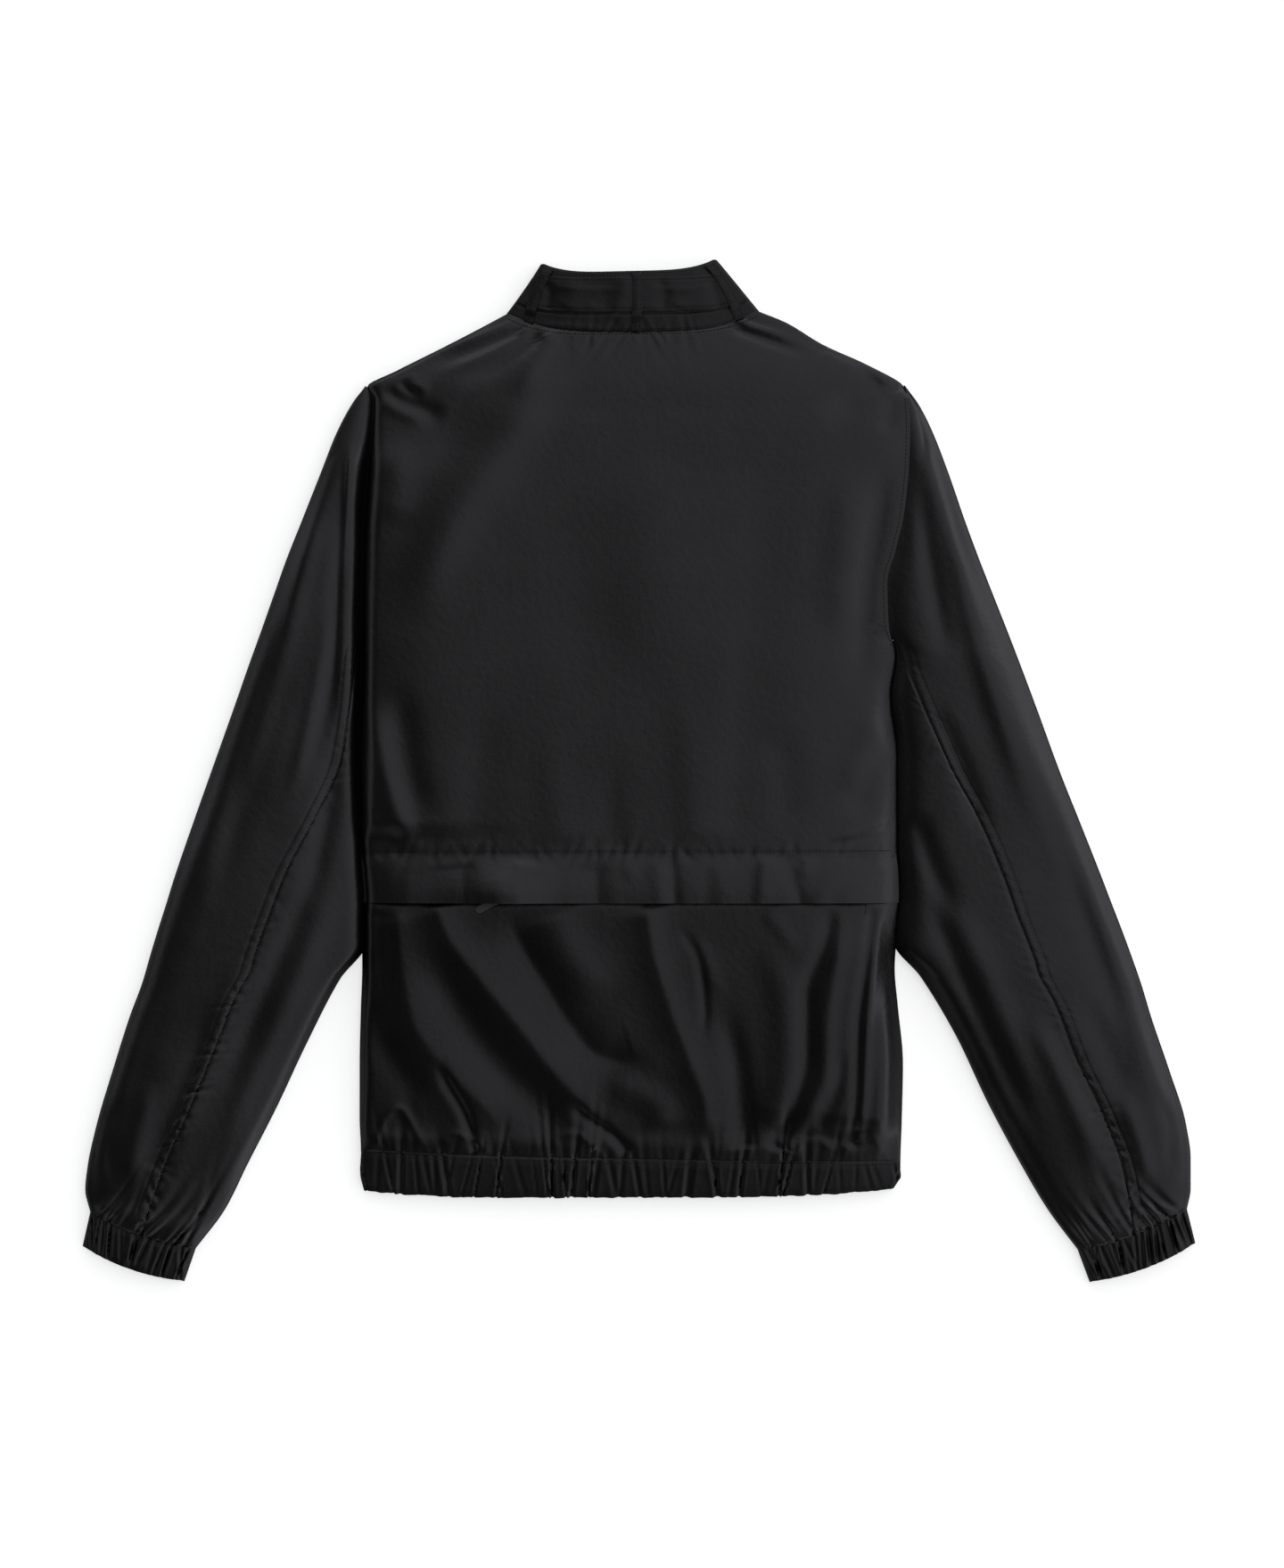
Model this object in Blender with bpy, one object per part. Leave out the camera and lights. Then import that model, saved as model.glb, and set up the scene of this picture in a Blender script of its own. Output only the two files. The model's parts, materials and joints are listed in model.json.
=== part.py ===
"""A light windbreaker jacket laid flat on its front, with its back uppermost.

+X is the wearer's right, +Y runs from hem to collar, and +Z is up, off the surface it lies on.
The sizes below are in millimetres, and every mesh is made in metres. Each cloth panel is a sheet of
points read off the garment's cross-sections, and a Solidify modifier gives it its wall, inwards.
A cross-section is a flattened tube: an upper side, a lower side and two rounded edges, a and b.
"""

import math
from typing import NamedTuple

import bmesh
import bpy
from mathutils import Matrix, Vector

MM = 0.001
GAP = 0.3  # between two pieces that meet at a seam
CLOTH = 1.2  # wall of the shell cloth
DOUBLE = 1.8  # wall of the collar, cuffs and hem band, which are doubled

# The front zip, along the middle of the fronts, and the pocket zip, across the back under the flap.
ZIP_X = -7.0
POCKET_ZIP_Y = -99.0
CHAIN_WIDTH = 5.4
CHAIN_GAP = 0.6  # between the chain and the cloth edge on each side of it
TAPE_WALL = 0.8
TAPE_ROOM = 0.9  # between the fronts and the front tape behind them
FRONT_TAPE_WIDTH = 24.0
POCKET_TAPE_WIDTH = 26.0
CHAIN_PROUD = 0.6  # how far the pocket chain stands above the cloth

# The fronts are lifted a little off the surface round the front zip's slider.
RISE_HEIGHT, RISE_Y, RISE_HALF_WIDTH, RISE_HALF_LENGTH = 8.0, 315.0, 24.0, 45.0

# The flap hangs from its seam, stands off the back and lifts more over the pocket zip's slider.
FLAP_SEAM_Y, FLAP_EDGE_Y, FLAP_WALL = -64.0, -103.0, 1.3
FLAP_LIFT_AT_SEAM, FLAP_LIFT, FLAP_WAVE, FLAP_WAVE_HALF_WIDTH = 1.7, 4.7, 8.5, 30.0
FLAP_RISE_LENGTH = 34.0
FLAP_ROWS_Y = (FLAP_EDGE_Y, POCKET_ZIP_Y, -88.0, -80.0, -72.0, FLAP_SEAM_Y - GAP)
FLAP_END_LENGTH = 40.0  # over which the flap comes down at each end, where a side seam holds it

SLIDER_X, FRONT_SLIDER_Y = -108.0, 325.0
PULL_YAW = math.radians(208)  # the pocket pull hangs towards the hem and the left sleeve
PULL_DROOP, FRONT_PULL_DROOP = math.radians(3.0), math.radians(5.0)

TOP_COLUMNS = 18
EDGE_COLUMNS = 3
FRONT_COLUMNS = 5
OPEN_EDGE = 0.06  # share of the upper side that an edge's columns take where the armhole is open
ROLL_WIDTH = 9.0
EDGE_RADIUS = 3.5
SHARP_ANGLE = math.radians(40)
SIDE_SEAM_GAP = 1.8  # between the flat fronts and the foot of the rounded side of the back


class BodyRow(NamedTuple):
    """One cross-section of the body. back_y and front_y are where its middle lies, above and below."""

    left_x: float
    left_y: float
    right_x: float
    right_y: float
    back_y: float
    front_y: float
    left_height: float
    right_height: float
    left_roll: float
    right_roll: float
    dome: float
    armhole: int


BODY_ROWS = (
    # left_x left_y right_x right_y back_y front_y left_h right_h left_roll right_roll dome armhole
    BodyRow(-216.5, -330, 200.5, -328.5, -335, -335, 8, 8, 0, 0, 2.5, 0),
    BodyRow(-219.5, -316, 206, -318, -321, -321, 8, 8, 0.5, 0.5, 4, 0),
    BodyRow(-219, -298.5, 206, -307, -305.5, -305.5, 8, 8, 1.5, 1.5, 5, 0),
    BodyRow(-220, -272, 207, -276, -274, -274, 7, 8, 4.5, 5, 5.2, 0),
    BodyRow(-220, -230, 208, -230, -230, -230, 6, 8, 6.5, 6.5, 6.8, 0),
    BodyRow(-219, -185, 204, -185, -185, -185, 6, 8, 6.5, 6.5, 8.6, 0),
    BodyRow(-218, -155, 201.5, -155, -155, -155, 6, 8, 6.5, 6.5, 9.6, 0),
    BodyRow(-218, -134, 202.7, -134, -134, -134, 6, 8, 6.5, 6.5, 10.2, 0),
    BodyRow(-218, -116, 204, -116, -116, -116, 6, 8, 6.5, 6.5, 10.8, 0),
    BodyRow(-217.5, -99, 205.5, -99, -99, -99, 6, 8, 6.5, 6.5, 11.1, 0),
    BodyRow(-218.6, -80, 205, -80, -80, -80, 6, 8, 6.5, 6.5, 11.2, 0),
    BodyRow(-220, -62, 204, -62, -62, -62, 6, 8, 6.5, 6.5, 11.2, 0),
    BodyRow(-221, -29, 204, -29, -29, -29, 6, 8, 6.5, 6.5, 11.1, 0),
    BodyRow(-222, 12, 204, 12, 12, 12, 6, 8, 6.5, 6.5, 11, 0),
    BodyRow(-220.5, 60, 199, 60, 60, 60, 6, 9, 6.5, 5.5, 10.8, 0),
    BodyRow(-220, 91, 203, 91, 91, 91, 6.5, 10.5, 6, 4, 10.5, 0),
    BodyRow(-220, 116, 196, 116, 116, 114, 6, 13, 6.5, 1.5, 10.2, 1),
    BodyRow(-219.6, 149, 195, 149, 149, 144, 6, 13.5, 6.5, 1, 10, 1),
    BodyRow(-219, 172, 201, 172, 172, 165, 6, 13.5, 6.5, 1, 9.5, 1),
    BodyRow(-218, 202, 208, 202, 202, 192, 6, 13.5, 6.5, 0.9, 9, 1),
    BodyRow(-215, 240, 212, 240, 240, 226, 6, 13, 6.2, 1, 8, 1),
    BodyRow(-212, 270, 213, 270, 270, 250, 6, 12.5, 5.8, 1, 7.5, 1),
    BodyRow(-211, 292, 212, 292, 290, 266, 6, 12, 5.2, 0.8, 7, 1),
    BodyRow(-214, 303, 208, 303.5, 304, 272, 8, 11, 2.5, 0.8, 7, 0),
    BodyRow(-190, 316, 180, 320, 316, 276, 8, 9.5, 1.9, 1.2, 6.6, 0),
    BodyRow(-155, 333.5, 145, 336, 327, 280, 8, 8.5, 1.2, 1.2, 6, 0),
    BodyRow(-125, 349, 116, 353.5, 337, 284, 8, 8, 0.6, 0.8, 5.2, 0),
    BodyRow(-104.6, 360, 95, 362, 345.5, 288, 8, 8, 0, 0, 4.5, 0),
)
HEM_SEAM_ROW, POCKET_ROW, APEX_ROW, TOP_SLEEVE_ROW = 2, 9, 7, 22


class SleeveRow(NamedTuple):
    """One cross-section of a sleeve below the body's side, from its inner edge to its outer one."""

    inner_x: float
    inner_y: float
    outer_x: float
    outer_y: float
    seam: float
    roll: float
    dome: float


class SideRow(NamedTuple):
    """One cross-section of a sleeve beside the body, whose side gives it its inner edge."""

    outer_x: float
    outer_y: float
    seam: float
    dome: float


RIGHT_SLEEVE_ROWS = (
    # inner_x inner_y outer_x outer_y seam roll dome
    SleeveRow(345.5, -376.5, 431.5, -344.5, 0.49, 0, 4),
    SleeveRow(322, -345, 434.5, -328, 0.56, 1, 6),
    SleeveRow(300, -308, 434.5, -305, 0.585, 2, 7),
    SleeveRow(274.8, -261, 430.5, -276, 0.575, 3, 8),
    SleeveRow(249.6, -208, 418, -236, 0.55, 3, 8),
    SleeveRow(222, -162, 404, -195, 0.57, 3, 8),
)
RIGHT_SIDE_ROWS = (
    # outer_x outer_y seam dome, one for each body row from the gap's apex to the shoulder
    SideRow(395.5, -167, 0.57, 8),
    SideRow(387.5, -144, 0.55, 8),
    SideRow(380.5, -125, 0.525, 8),
    SideRow(372, -103, 0.51, 8),
    SideRow(364, -82, 0.49, 8),
    SideRow(349, -44, 0.43, 8),
    SideRow(331.5, 0, 0.3, 8),
    SideRow(312.5, 52, 0.18, 7),
    SideRow(300.5, 84, 0.04, 7),
    SideRow(290.5, 110, 0, 7),
    SideRow(277.5, 143, 0, 6),
    SideRow(268.5, 166, 0, 6),
    SideRow(257, 197, 0, 5),
    SideRow(243.5, 236, 0, 4),
    SideRow(231.5, 267, 0, 2),
    SideRow(221, 288, 0, 1),
)
LEFT_SLEEVE_ROWS = (
    # inner_x inner_y outer_x outer_y seam roll dome
    SleeveRow(-349, -375.6, -432, -346.8, 0.49, 0, 4),
    SleeveRow(-326, -345, -436, -329, 0.51, 1, 6),
    SleeveRow(-308, -309, -434, -310, 0.51, 2, 7),
    SleeveRow(-285, -264, -426.5, -276, 0.49, 3, 8),
    SleeveRow(-262, -215, -414, -234, 0.48, 3, 8),
    SleeveRow(-235.6, -164, -401, -193, 0.49, 3, 8),
)
LEFT_SIDE_ROWS = (
    # outer_x outer_y seam dome, one for each body row from the gap's apex to the shoulder
    SideRow(-391, -166, 0.5, 8),
    SideRow(-385.5, -147, 0.48, 8),
    SideRow(-379.5, -127, 0.455, 8),
    SideRow(-372.5, -105, 0.42, 8),
    SideRow(-366, -84, 0.37, 8),
    SideRow(-353, -46, 0.25, 8),
    SideRow(-337.5, -2, 0.11, 8),
    SideRow(-319, 50, 0.06, 7),
    SideRow(-307.5, 83, 0.04, 7),
    SideRow(-298.5, 108, 0, 7),
    SideRow(-286.5, 142, 0, 6),
    SideRow(-278, 166, 0, 6),
    SideRow(-265.7, 197, 0, 5),
    SideRow(-250.5, 235.5, 0, 4),
    SideRow(-238, 267, 0, 2),
    SideRow(-225, 291, 0, 1),
)
CUFF_LENGTH = 27.5
WRIST_HEIGHT, OUTER_HEIGHT = 7.0, 8.0  # of a sleeve's two edges
FLATTENED = 0.4  # share of a sleeve's dome that stands as a flat top instead
HEAD_GAP, HEAD_WIDTH = 1.2, 4.5  # from the shoulder's corner to a sleeve head's two edges
CUFF_BOW = 4.0  # how far a cuff's middle curves towards the hand
CUFF_TAPER = 3.0  # how much narrower a cuff is at its mouth


class CollarRow(NamedTuple):
    """One cross-section of the collar, the seam first and the top edge last."""

    left_x: float
    left_y: float
    right_x: float
    right_y: float
    back_y: float
    front_y: float
    height: float
    dome: float


COLLAR_ROWS = (
    # left_x left_y right_x right_y back_y front_y height dome
    CollarRow(-104.6, 360, 95, 362, 345.5, 288, 8, 4.5),
    CollarRow(-98.5, 368, 88, 370.5, 360.5, 303, 8.4, 5.2),
    CollarRow(-82.5, 391, 69.5, 393, 388, 332, 9.2, 5.8),
    CollarRow(-77.5, 399, 61.5, 402.5, 392.8, 340, 9.4, 5.8),
)
STRAP_ROWS = (1, 2)
STRAP_WALL, LOOP_WALL, LOOP_WIDTH = 1.2, 1.0, 8.0
LOOP_ROOM = 2 * GAP + STRAP_WALL + LOOP_WALL + 0.3  # how far a loop's outer face clears the collar


class LoopStation(NamedTuple):
    """A point along a strap loop: its share of the way up the collar, and how far it stands off."""

    up: float
    out: float


LOOP_STATIONS = (
    LoopStation(0.02, GAP + LOOP_WALL),
    LoopStation(0.16, GAP + LOOP_WALL),
    LoopStation(0.25, LOOP_ROOM),
    LoopStation(0.9, LOOP_ROOM),
    LoopStation(0.96, GAP + LOOP_WALL),
    LoopStation(0.99, GAP + LOOP_WALL),
)
LOOP_PLACES = {"left": (0.075, 0.035), "centre": (0.512, 0.541), "right": (0.935, 0.965)}  # low and high


class Fold(NamedTuple):
    """A soft fold from (x0, y0) to (x1, y1). A positive height is a ridge, a negative one a valley."""

    x0: float
    y0: float
    x1: float
    y1: float
    half_width: float
    height: float


FOLDS = (
    # x0 y0 x1 y1 half_width height: the largest folds of the back
    Fold(-80, 305, -166, 150, 21, 5.0),
    Fold(204, 250, 176, 90, 18, -3.0),
    Fold(-188, -125, -120, -262, 18, 3.4),
    Fold(-160, -145, -70, -268, 18, -3.4),
    Fold(-155, -118, -45, -262, 17, 3.8),
    Fold(-98, -120, -40, -215, 16, -3.4),
    Fold(8, -115, 50, -270, 14, 3.1),
    Fold(68, -185, 82, -290, 12, -2.4),
    Fold(152, -110, 108, -290, 11, -2.6),
    Fold(190, -110, 182, -290, 36, 5.5),
)


class Finish(NamedTuple):
    """A surface's colour, roughness and metallic value."""

    colour: tuple[float, float, float]
    roughness: float
    metallic: float


FINISHES = {
    "nylon_shell": Finish((0.022, 0.022, 0.026), 0.4, 0.0),
    "zip_tape": Finish((0.012, 0.012, 0.013), 0.8, 0.0),
    "zip_chain": Finish((0.02, 0.02, 0.02), 0.35, 0.0),
    "zip_metal": Finish((0.05, 0.05, 0.055), 0.35, 0.9),
}


class Section(NamedTuple):
    """A flattened tube from edge a to edge b, in plan, with its heights."""

    a: Vector
    b: Vector
    height_a: float
    height_b: float
    radius_a: float
    radius_b: float
    roll_a: float
    roll_b: float
    dome: float
    top_bow: Vector
    bottom_bow: Vector
    bow_power: float
    dome_power: float = 2  # the higher, the flatter the middle of the upper side


def clear_scene() -> None:
    """Removes every object of the startup scene."""
    for obj in list(bpy.data.objects):
        bpy.data.objects.remove(obj, do_unlink=True)


def material(name: str) -> bpy.types.Material:
    """Returns the named finish as a material, made once."""
    made = bpy.data.materials.get(name)
    if made is None:
        finish = FINISHES[name]
        made = bpy.data.materials.new(name)
        made.use_nodes = True
        shader = made.node_tree.nodes["Principled BSDF"]
        shader.inputs["Base Color"].default_value = (*finish.colour, 1)
        shader.inputs["Roughness"].default_value = finish.roughness
        shader.inputs["Metallic"].default_value = finish.metallic
    return made


def add_object(name: str, bm: bmesh.types.BMesh, finish: str) -> bpy.types.Object:
    """Turns a bmesh into a named object with its material."""
    mesh = bpy.data.meshes.new(name)
    bm.to_mesh(mesh)
    bm.free()
    mesh.materials.append(material(finish))
    mesh.shade_smooth()
    mesh.set_sharp_from_angle(angle=SHARP_ANGLE)
    obj = bpy.data.objects.new(name, mesh)
    bpy.context.scene.collection.objects.link(obj)
    return obj


def add_panel(
    name: str,
    rows: list,
    wall: float,
    finish: str = "nylon_shell",
    closed: bool = False,
    flip: bool = False,
) -> bpy.types.Object:
    """Makes a sheet through rows of points, and gives it a wall inwards.

    Rows run towards the collar and their points run so that the sheet faces out; flip turns it,
    and closed joins the last point of each row to the first.
    """
    bm = bmesh.new()
    grid = [[bm.verts.new(Vector(point) * MM) for point in row] for row in rows]
    for low, high in zip(grid, grid[1:]):
        count = len(low)
        for j in range(count if closed else count - 1):
            k = (j + 1) % count
            corners = (low[j], low[k], high[k], high[j])
            bm.faces.new(corners[::-1] if flip else corners)
    obj = add_object(name, bm, finish)
    solidify = obj.modifiers.new("Wall", "SOLIDIFY")
    solidify.thickness = wall * MM
    solidify.offset = -1
    return obj


def smooth(t: float) -> float:
    """An S-shaped step from 0 at t = 0 to 1 at t = 1."""
    t = min(1.0, max(0.0, t))
    return t * t * (3 - 2 * t)


def steps(start: float, end: float, count: int) -> list[float]:
    """count + 1 even values from start to end."""
    return [start + (end - start) * i / count for i in range(count + 1)]


def front_rise(x: float, y: float) -> float:
    """How far the fronts are lifted off the surface at a place."""
    across = ((x - ZIP_X) / RISE_HALF_WIDTH) ** 2
    along = ((y - RISE_Y) / RISE_HALF_LENGTH) ** 2
    return RISE_HEIGHT * math.exp(-across - along)


def folds_at(x: float, y: float) -> float:
    """The height that the folds add at a place."""
    total = 0.0
    for fold in FOLDS:
        start = Vector((fold.x0, fold.y0))
        run = Vector((fold.x1, fold.y1)) - start
        place = Vector((x, y)) - start
        along = place.dot(run) / run.length_squared
        across = place.cross(run) / run.length
        ends = smooth((along + 0.2) / 0.4) * smooth((1.2 - along) / 0.4)
        total += fold.height * ends * math.exp(-((across / fold.half_width) ** 2))
    return total


def ring_point(section: Section, u: float, out: float = 0.0) -> tuple[float, float, float]:
    """A point on a section, moved out by out.

    u runs 0 to 1 over the upper side from a to b, 1 to 2 down edge b, 2 to 3 back under the lower
    side and 3 to 4 up edge a, which is also -1 to 0.
    """
    if u < 0:
        u += 4
    span = section.b - section.a
    width = span.length
    along = span / width
    inner_width = width - section.radius_a - section.radius_b
    if u <= 1 or u >= 4:
        f = u - 4 if u >= 4 else u
        run = section.radius_a + f * inner_width
        bow = section.top_bow * (1 - abs(2 * f - 1) ** section.bow_power)
        place = section.a + along * run + bow
        inset = min(run, width - run)
        lift = 1 - math.exp(-((inset / ROLL_WIDTH) ** 2))
        side_a = section.height_a + section.roll_a * (1 - math.exp(-((run / ROLL_WIDTH) ** 2)))
        side_b = section.height_b + section.roll_b * (1 - math.exp(-(((width - run) / ROLL_WIDTH) ** 2)))
        z = side_a + (side_b - side_a) * f
        z += section.dome * (1 - abs(2 * f - 1) ** section.dome_power)
        z += lift * folds_at(place.x, place.y)
        return (place.x, place.y, z + out)
    if 2 <= u <= 3:
        f = 3 - u
        run = section.radius_a + f * inner_width
        bow = section.bottom_bow * (1 - abs(2 * f - 1) ** section.bow_power)
        place = section.a + along * run + bow
        return (place.x, place.y, front_rise(place.x, place.y) - out)
    angle = math.pi * (u - 1) if u < 2 else math.pi * (4 - u)
    if u < 2:
        radius, height = section.radius_b, section.height_b / 2
        place = section.b - along * (radius - (radius + out) * math.sin(angle))
    else:
        radius, height = section.radius_a, section.height_a / 2
        place = section.a + along * (radius - (radius + out) * math.sin(angle))
    return (place.x, place.y, height + (height + out) * math.cos(angle))


def row_points(section: Section, values: list[float], out: float = 0.0) -> list:
    """The section's points at several values of u."""
    return [ring_point(section, u, out) for u in values]


def shifted(points: list, dy: float) -> list:
    """The points moved along Y."""
    return [(x, y + dy, z) for x, y, z in points]


def body_section(row: BodyRow) -> Section:
    """The cross-section of a row of the body."""
    mean_y = (row.left_y + row.right_y) / 2
    radius = 0.0 if row.armhole else EDGE_RADIUS
    return Section(
        a=Vector((row.left_x, row.left_y)),
        b=Vector((row.right_x, row.right_y)),
        height_a=row.left_height,
        height_b=row.right_height,
        radius_a=radius,
        radius_b=radius,
        roll_a=row.left_roll,
        roll_b=row.right_roll,
        dome=row.dome,
        top_bow=Vector((0, row.back_y - mean_y)),
        bottom_bow=Vector((0, row.front_y - mean_y)),
        bow_power=4,
        dome_power=4,
    )


def between(low: NamedTuple, high: NamedTuple, share: float) -> NamedTuple:
    """A row part of the way from one row to the next."""
    return type(low)(*(a + (b - a) * share for a, b in zip(low, high)))


def body_row_at(y: float) -> BodyRow:
    """The body's row at a height that the table may not hold."""
    for low, high in zip(BODY_ROWS, BODY_ROWS[1:]):
        if low.back_y <= y <= high.back_y:
            return between(low, high, (y - low.back_y) / (high.back_y - low.back_y))
    raise ValueError(y)


def back_values(row: BodyRow) -> list[float]:
    """The values of u over the back, round both edges where they are closed."""
    if row.armhole:
        ends = steps(0, OPEN_EDGE, EDGE_COLUMNS)
        top = steps(OPEN_EDGE, 1 - OPEN_EDGE, TOP_COLUMNS)
        return ends[:-1] + top + [1 - u for u in reversed(ends[:-1])]
    edge = steps(-1, 0, EDGE_COLUMNS)
    return edge[:-1] + steps(0, 1, TOP_COLUMNS) + steps(1, 2, EDGE_COLUMNS)[1:]


def lower_half(section: Section, right: bool, edge_gap: float, zip_gap: float) -> list[tuple]:
    """The lower side from edge b to the zip, or from the zip to edge a."""
    width = (section.b - section.a).length
    inner_width = width - section.radius_a - section.radius_b

    def value(x: float) -> float:
        share = (x - section.a.x) / (section.b.x - section.a.x)
        return 3 - (share * width - section.radius_a) / inner_width

    if right:
        places = steps(section.b.x - section.radius_b, ZIP_X + zip_gap, FRONT_COLUMNS)
        places[0] -= edge_gap
    else:
        places = steps(ZIP_X - zip_gap, section.a.x + section.radius_a, FRONT_COLUMNS)
        places[-1] += edge_gap
    return row_points(section, [value(x) for x in places])


def wrapped_row(section: Section, out: float = 0.0) -> list:
    """The whole way round from the zip and back to it, for a band that is open at the zip."""
    zip_gap = CHAIN_WIDTH / 2 + CHAIN_GAP
    edges_and_top = (
        steps(-1, 0, EDGE_COLUMNS)[:-1]
        + steps(0, 1, TOP_COLUMNS)
        + steps(1, 2, EDGE_COLUMNS)[1:]
    )
    left = lower_half(section, False, 0, zip_gap)
    right = lower_half(section, True, 0, zip_gap)
    return left[:-1] + row_points(section, edges_and_top, out) + right[1:]


def build_back() -> None:
    """The two back panels, the storm flap and the pocket zip's tape and chain."""
    half_opening = CHAIN_WIDTH / 2 + CHAIN_GAP
    lower_edge = body_row_at(POCKET_ZIP_Y - half_opening)
    upper_edge = body_row_at(POCKET_ZIP_Y + half_opening)

    lower = [*BODY_ROWS[HEM_SEAM_ROW:POCKET_ROW], lower_edge]
    rows = [row_points(body_section(row), back_values(row)) for row in lower]
    rows[0] = shifted(rows[0], GAP / 2)
    add_panel("back_lower", rows, CLOTH)

    upper = [upper_edge, *BODY_ROWS[POCKET_ROW + 1 :]]
    rows = [row_points(body_section(row), back_values(row)) for row in upper]
    rows[-1] = shifted(rows[-1], -GAP / 2)
    add_panel("back_upper", rows, CLOTH)

    top = steps(0, 1, TOP_COLUMNS)
    tape_half = POCKET_TAPE_WIDTH / 2
    tape_rows = [body_row_at(POCKET_ZIP_Y + dy) for dy in (-tape_half, 0, tape_half)]
    tape_out = -CLOTH - GAP
    rows = [row_points(body_section(row), top[1:-1], tape_out) for row in tape_rows]
    add_panel("pocket_zip_tape", rows, TAPE_WALL, "zip_tape")
    chain_rows = [body_row_at(POCKET_ZIP_Y + dy) for dy in (-CHAIN_WIDTH / 2, CHAIN_WIDTH / 2)]
    rows = [row_points(body_section(row), top[2:-2], CHAIN_PROUD) for row in chain_rows]
    add_panel("pocket_zip_chain", rows, CHAIN_PROUD + CLOTH, "zip_chain")

    values = [-1 / EDGE_COLUMNS, *top, 1 + 0.4 / EDGE_COLUMNS]
    rows = []
    for y in FLAP_ROWS_Y:
        section = body_section(body_row_at(y))
        rows.append([ring_point(section, u, flap_lift(section, u, y)) for u in values])
    add_panel("back_flap", rows, FLAP_WALL)


def flap_lift(section: Section, u: float, y: float) -> float:
    """How far the flap's outer face stands off the back."""
    x = ring_point(section, u)[0]
    wave = FLAP_WAVE * math.exp(-(((x - SLIDER_X) / FLAP_WAVE_HALF_WIDTH) ** 2))
    ends = smooth(min(x - section.a.x, section.b.x - x) / FLAP_END_LENGTH)
    share = smooth((FLAP_SEAM_Y - y) / FLAP_RISE_LENGTH)
    full = FLAP_LIFT_AT_SEAM + (FLAP_LIFT - FLAP_LIFT_AT_SEAM + wave) * ends
    return FLAP_LIFT_AT_SEAM + (full - FLAP_LIFT_AT_SEAM) * share


def build_fronts() -> None:
    """The two fronts, flat on the surface but for the rise round the slider."""
    zip_gap = CHAIN_WIDTH / 2 + CHAIN_GAP
    for name, right in (("front_left", False), ("front_right", True)):
        rows = [
            lower_half(body_section(row), right, SIDE_SEAM_GAP, zip_gap)
            for row in BODY_ROWS[HEM_SEAM_ROW:]
        ]
        rows[0] = shifted(rows[0], GAP / 2)
        rows[-1] = shifted(rows[-1], -GAP / 2)
        add_panel(name, rows, CLOTH)


def build_hem_band() -> None:
    """The elastic band below the hem seam, open at the front zip."""
    rows = [wrapped_row(body_section(row)) for row in BODY_ROWS[: HEM_SEAM_ROW + 1]]
    rows[-1] = shifted(rows[-1], -GAP / 2)
    add_panel("hem_band", rows, DOUBLE)


def collar_section(row: CollarRow) -> Section:
    """The cross-section of a row of the collar."""
    mean_y = (row.left_y + row.right_y) / 2
    return Section(
        a=Vector((row.left_x, row.left_y)),
        b=Vector((row.right_x, row.right_y)),
        height_a=row.height,
        height_b=row.height,
        radius_a=EDGE_RADIUS,
        radius_b=EDGE_RADIUS,
        roll_a=0,
        roll_b=0,
        dome=row.dome,
        top_bow=Vector((0, row.back_y - mean_y)),
        bottom_bow=Vector((0, row.front_y - mean_y)),
        bow_power=4,
    )


def collar_row_at(up: float) -> CollarRow:
    """The collar's row at a share of the way from its seam to its top edge."""
    low, high = COLLAR_ROWS[0], COLLAR_ROWS[-1]
    y = low.back_y + up * (high.back_y - low.back_y)
    for low, high in zip(COLLAR_ROWS, COLLAR_ROWS[1:]):
        if y <= high.back_y + 1e-6:
            return between(low, high, (y - low.back_y) / (high.back_y - low.back_y))
    raise ValueError(up)


def build_collar() -> None:
    """The collar, the strap round its back and the loops over the strap."""
    rows = [wrapped_row(collar_section(row)) for row in COLLAR_ROWS]
    rows[0] = shifted(rows[0], GAP / 2)
    add_panel("collar", rows, DOUBLE)

    values = steps(0, 1, TOP_COLUMNS)
    sections = [collar_section(COLLAR_ROWS[i]) for i in STRAP_ROWS]
    rows = [row_points(section, values, GAP + STRAP_WALL) for section in sections]
    add_panel("collar_strap", rows, STRAP_WALL)

    for side, (low, high) in LOOP_PLACES.items():
        rows = []
        for station in LOOP_STATIONS:
            section = collar_section(collar_row_at(station.up))
            middle = low + (high - low) * station.up
            half = LOOP_WIDTH / 2 / (section.b - section.a).length
            rows.append(row_points(section, [middle - half, middle, middle + half], station.out))
        add_panel(f"collar_loop_{side}", rows, LOOP_WALL)


def sleeve_section(
    inner: Vector,
    outer: Vector,
    inner_height: float,
    inner_radius: float,
    inner_roll: float,
    row: SleeveRow,
    bow: float = 0.0,
) -> Section:
    """A sleeve's cross-section from its inner edge (a) to its outer one (b)."""
    along = (outer - inner).normalized()
    hand = Vector((along.y, -along.x)) if outer.x > 0 else Vector((-along.y, along.x))
    width = (outer - inner).length
    return Section(
        a=inner,
        b=outer,
        height_a=inner_height,
        height_b=OUTER_HEIGHT,
        radius_a=inner_radius,
        radius_b=min(EDGE_RADIUS, width / 3),
        roll_a=inner_roll + FLATTENED * row.dome,
        roll_b=row.roll + FLATTENED * row.dome,
        dome=(1 - FLATTENED) * row.dome,
        top_bow=hand * bow,
        bottom_bow=hand * bow,
        bow_power=2,
    )


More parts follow.
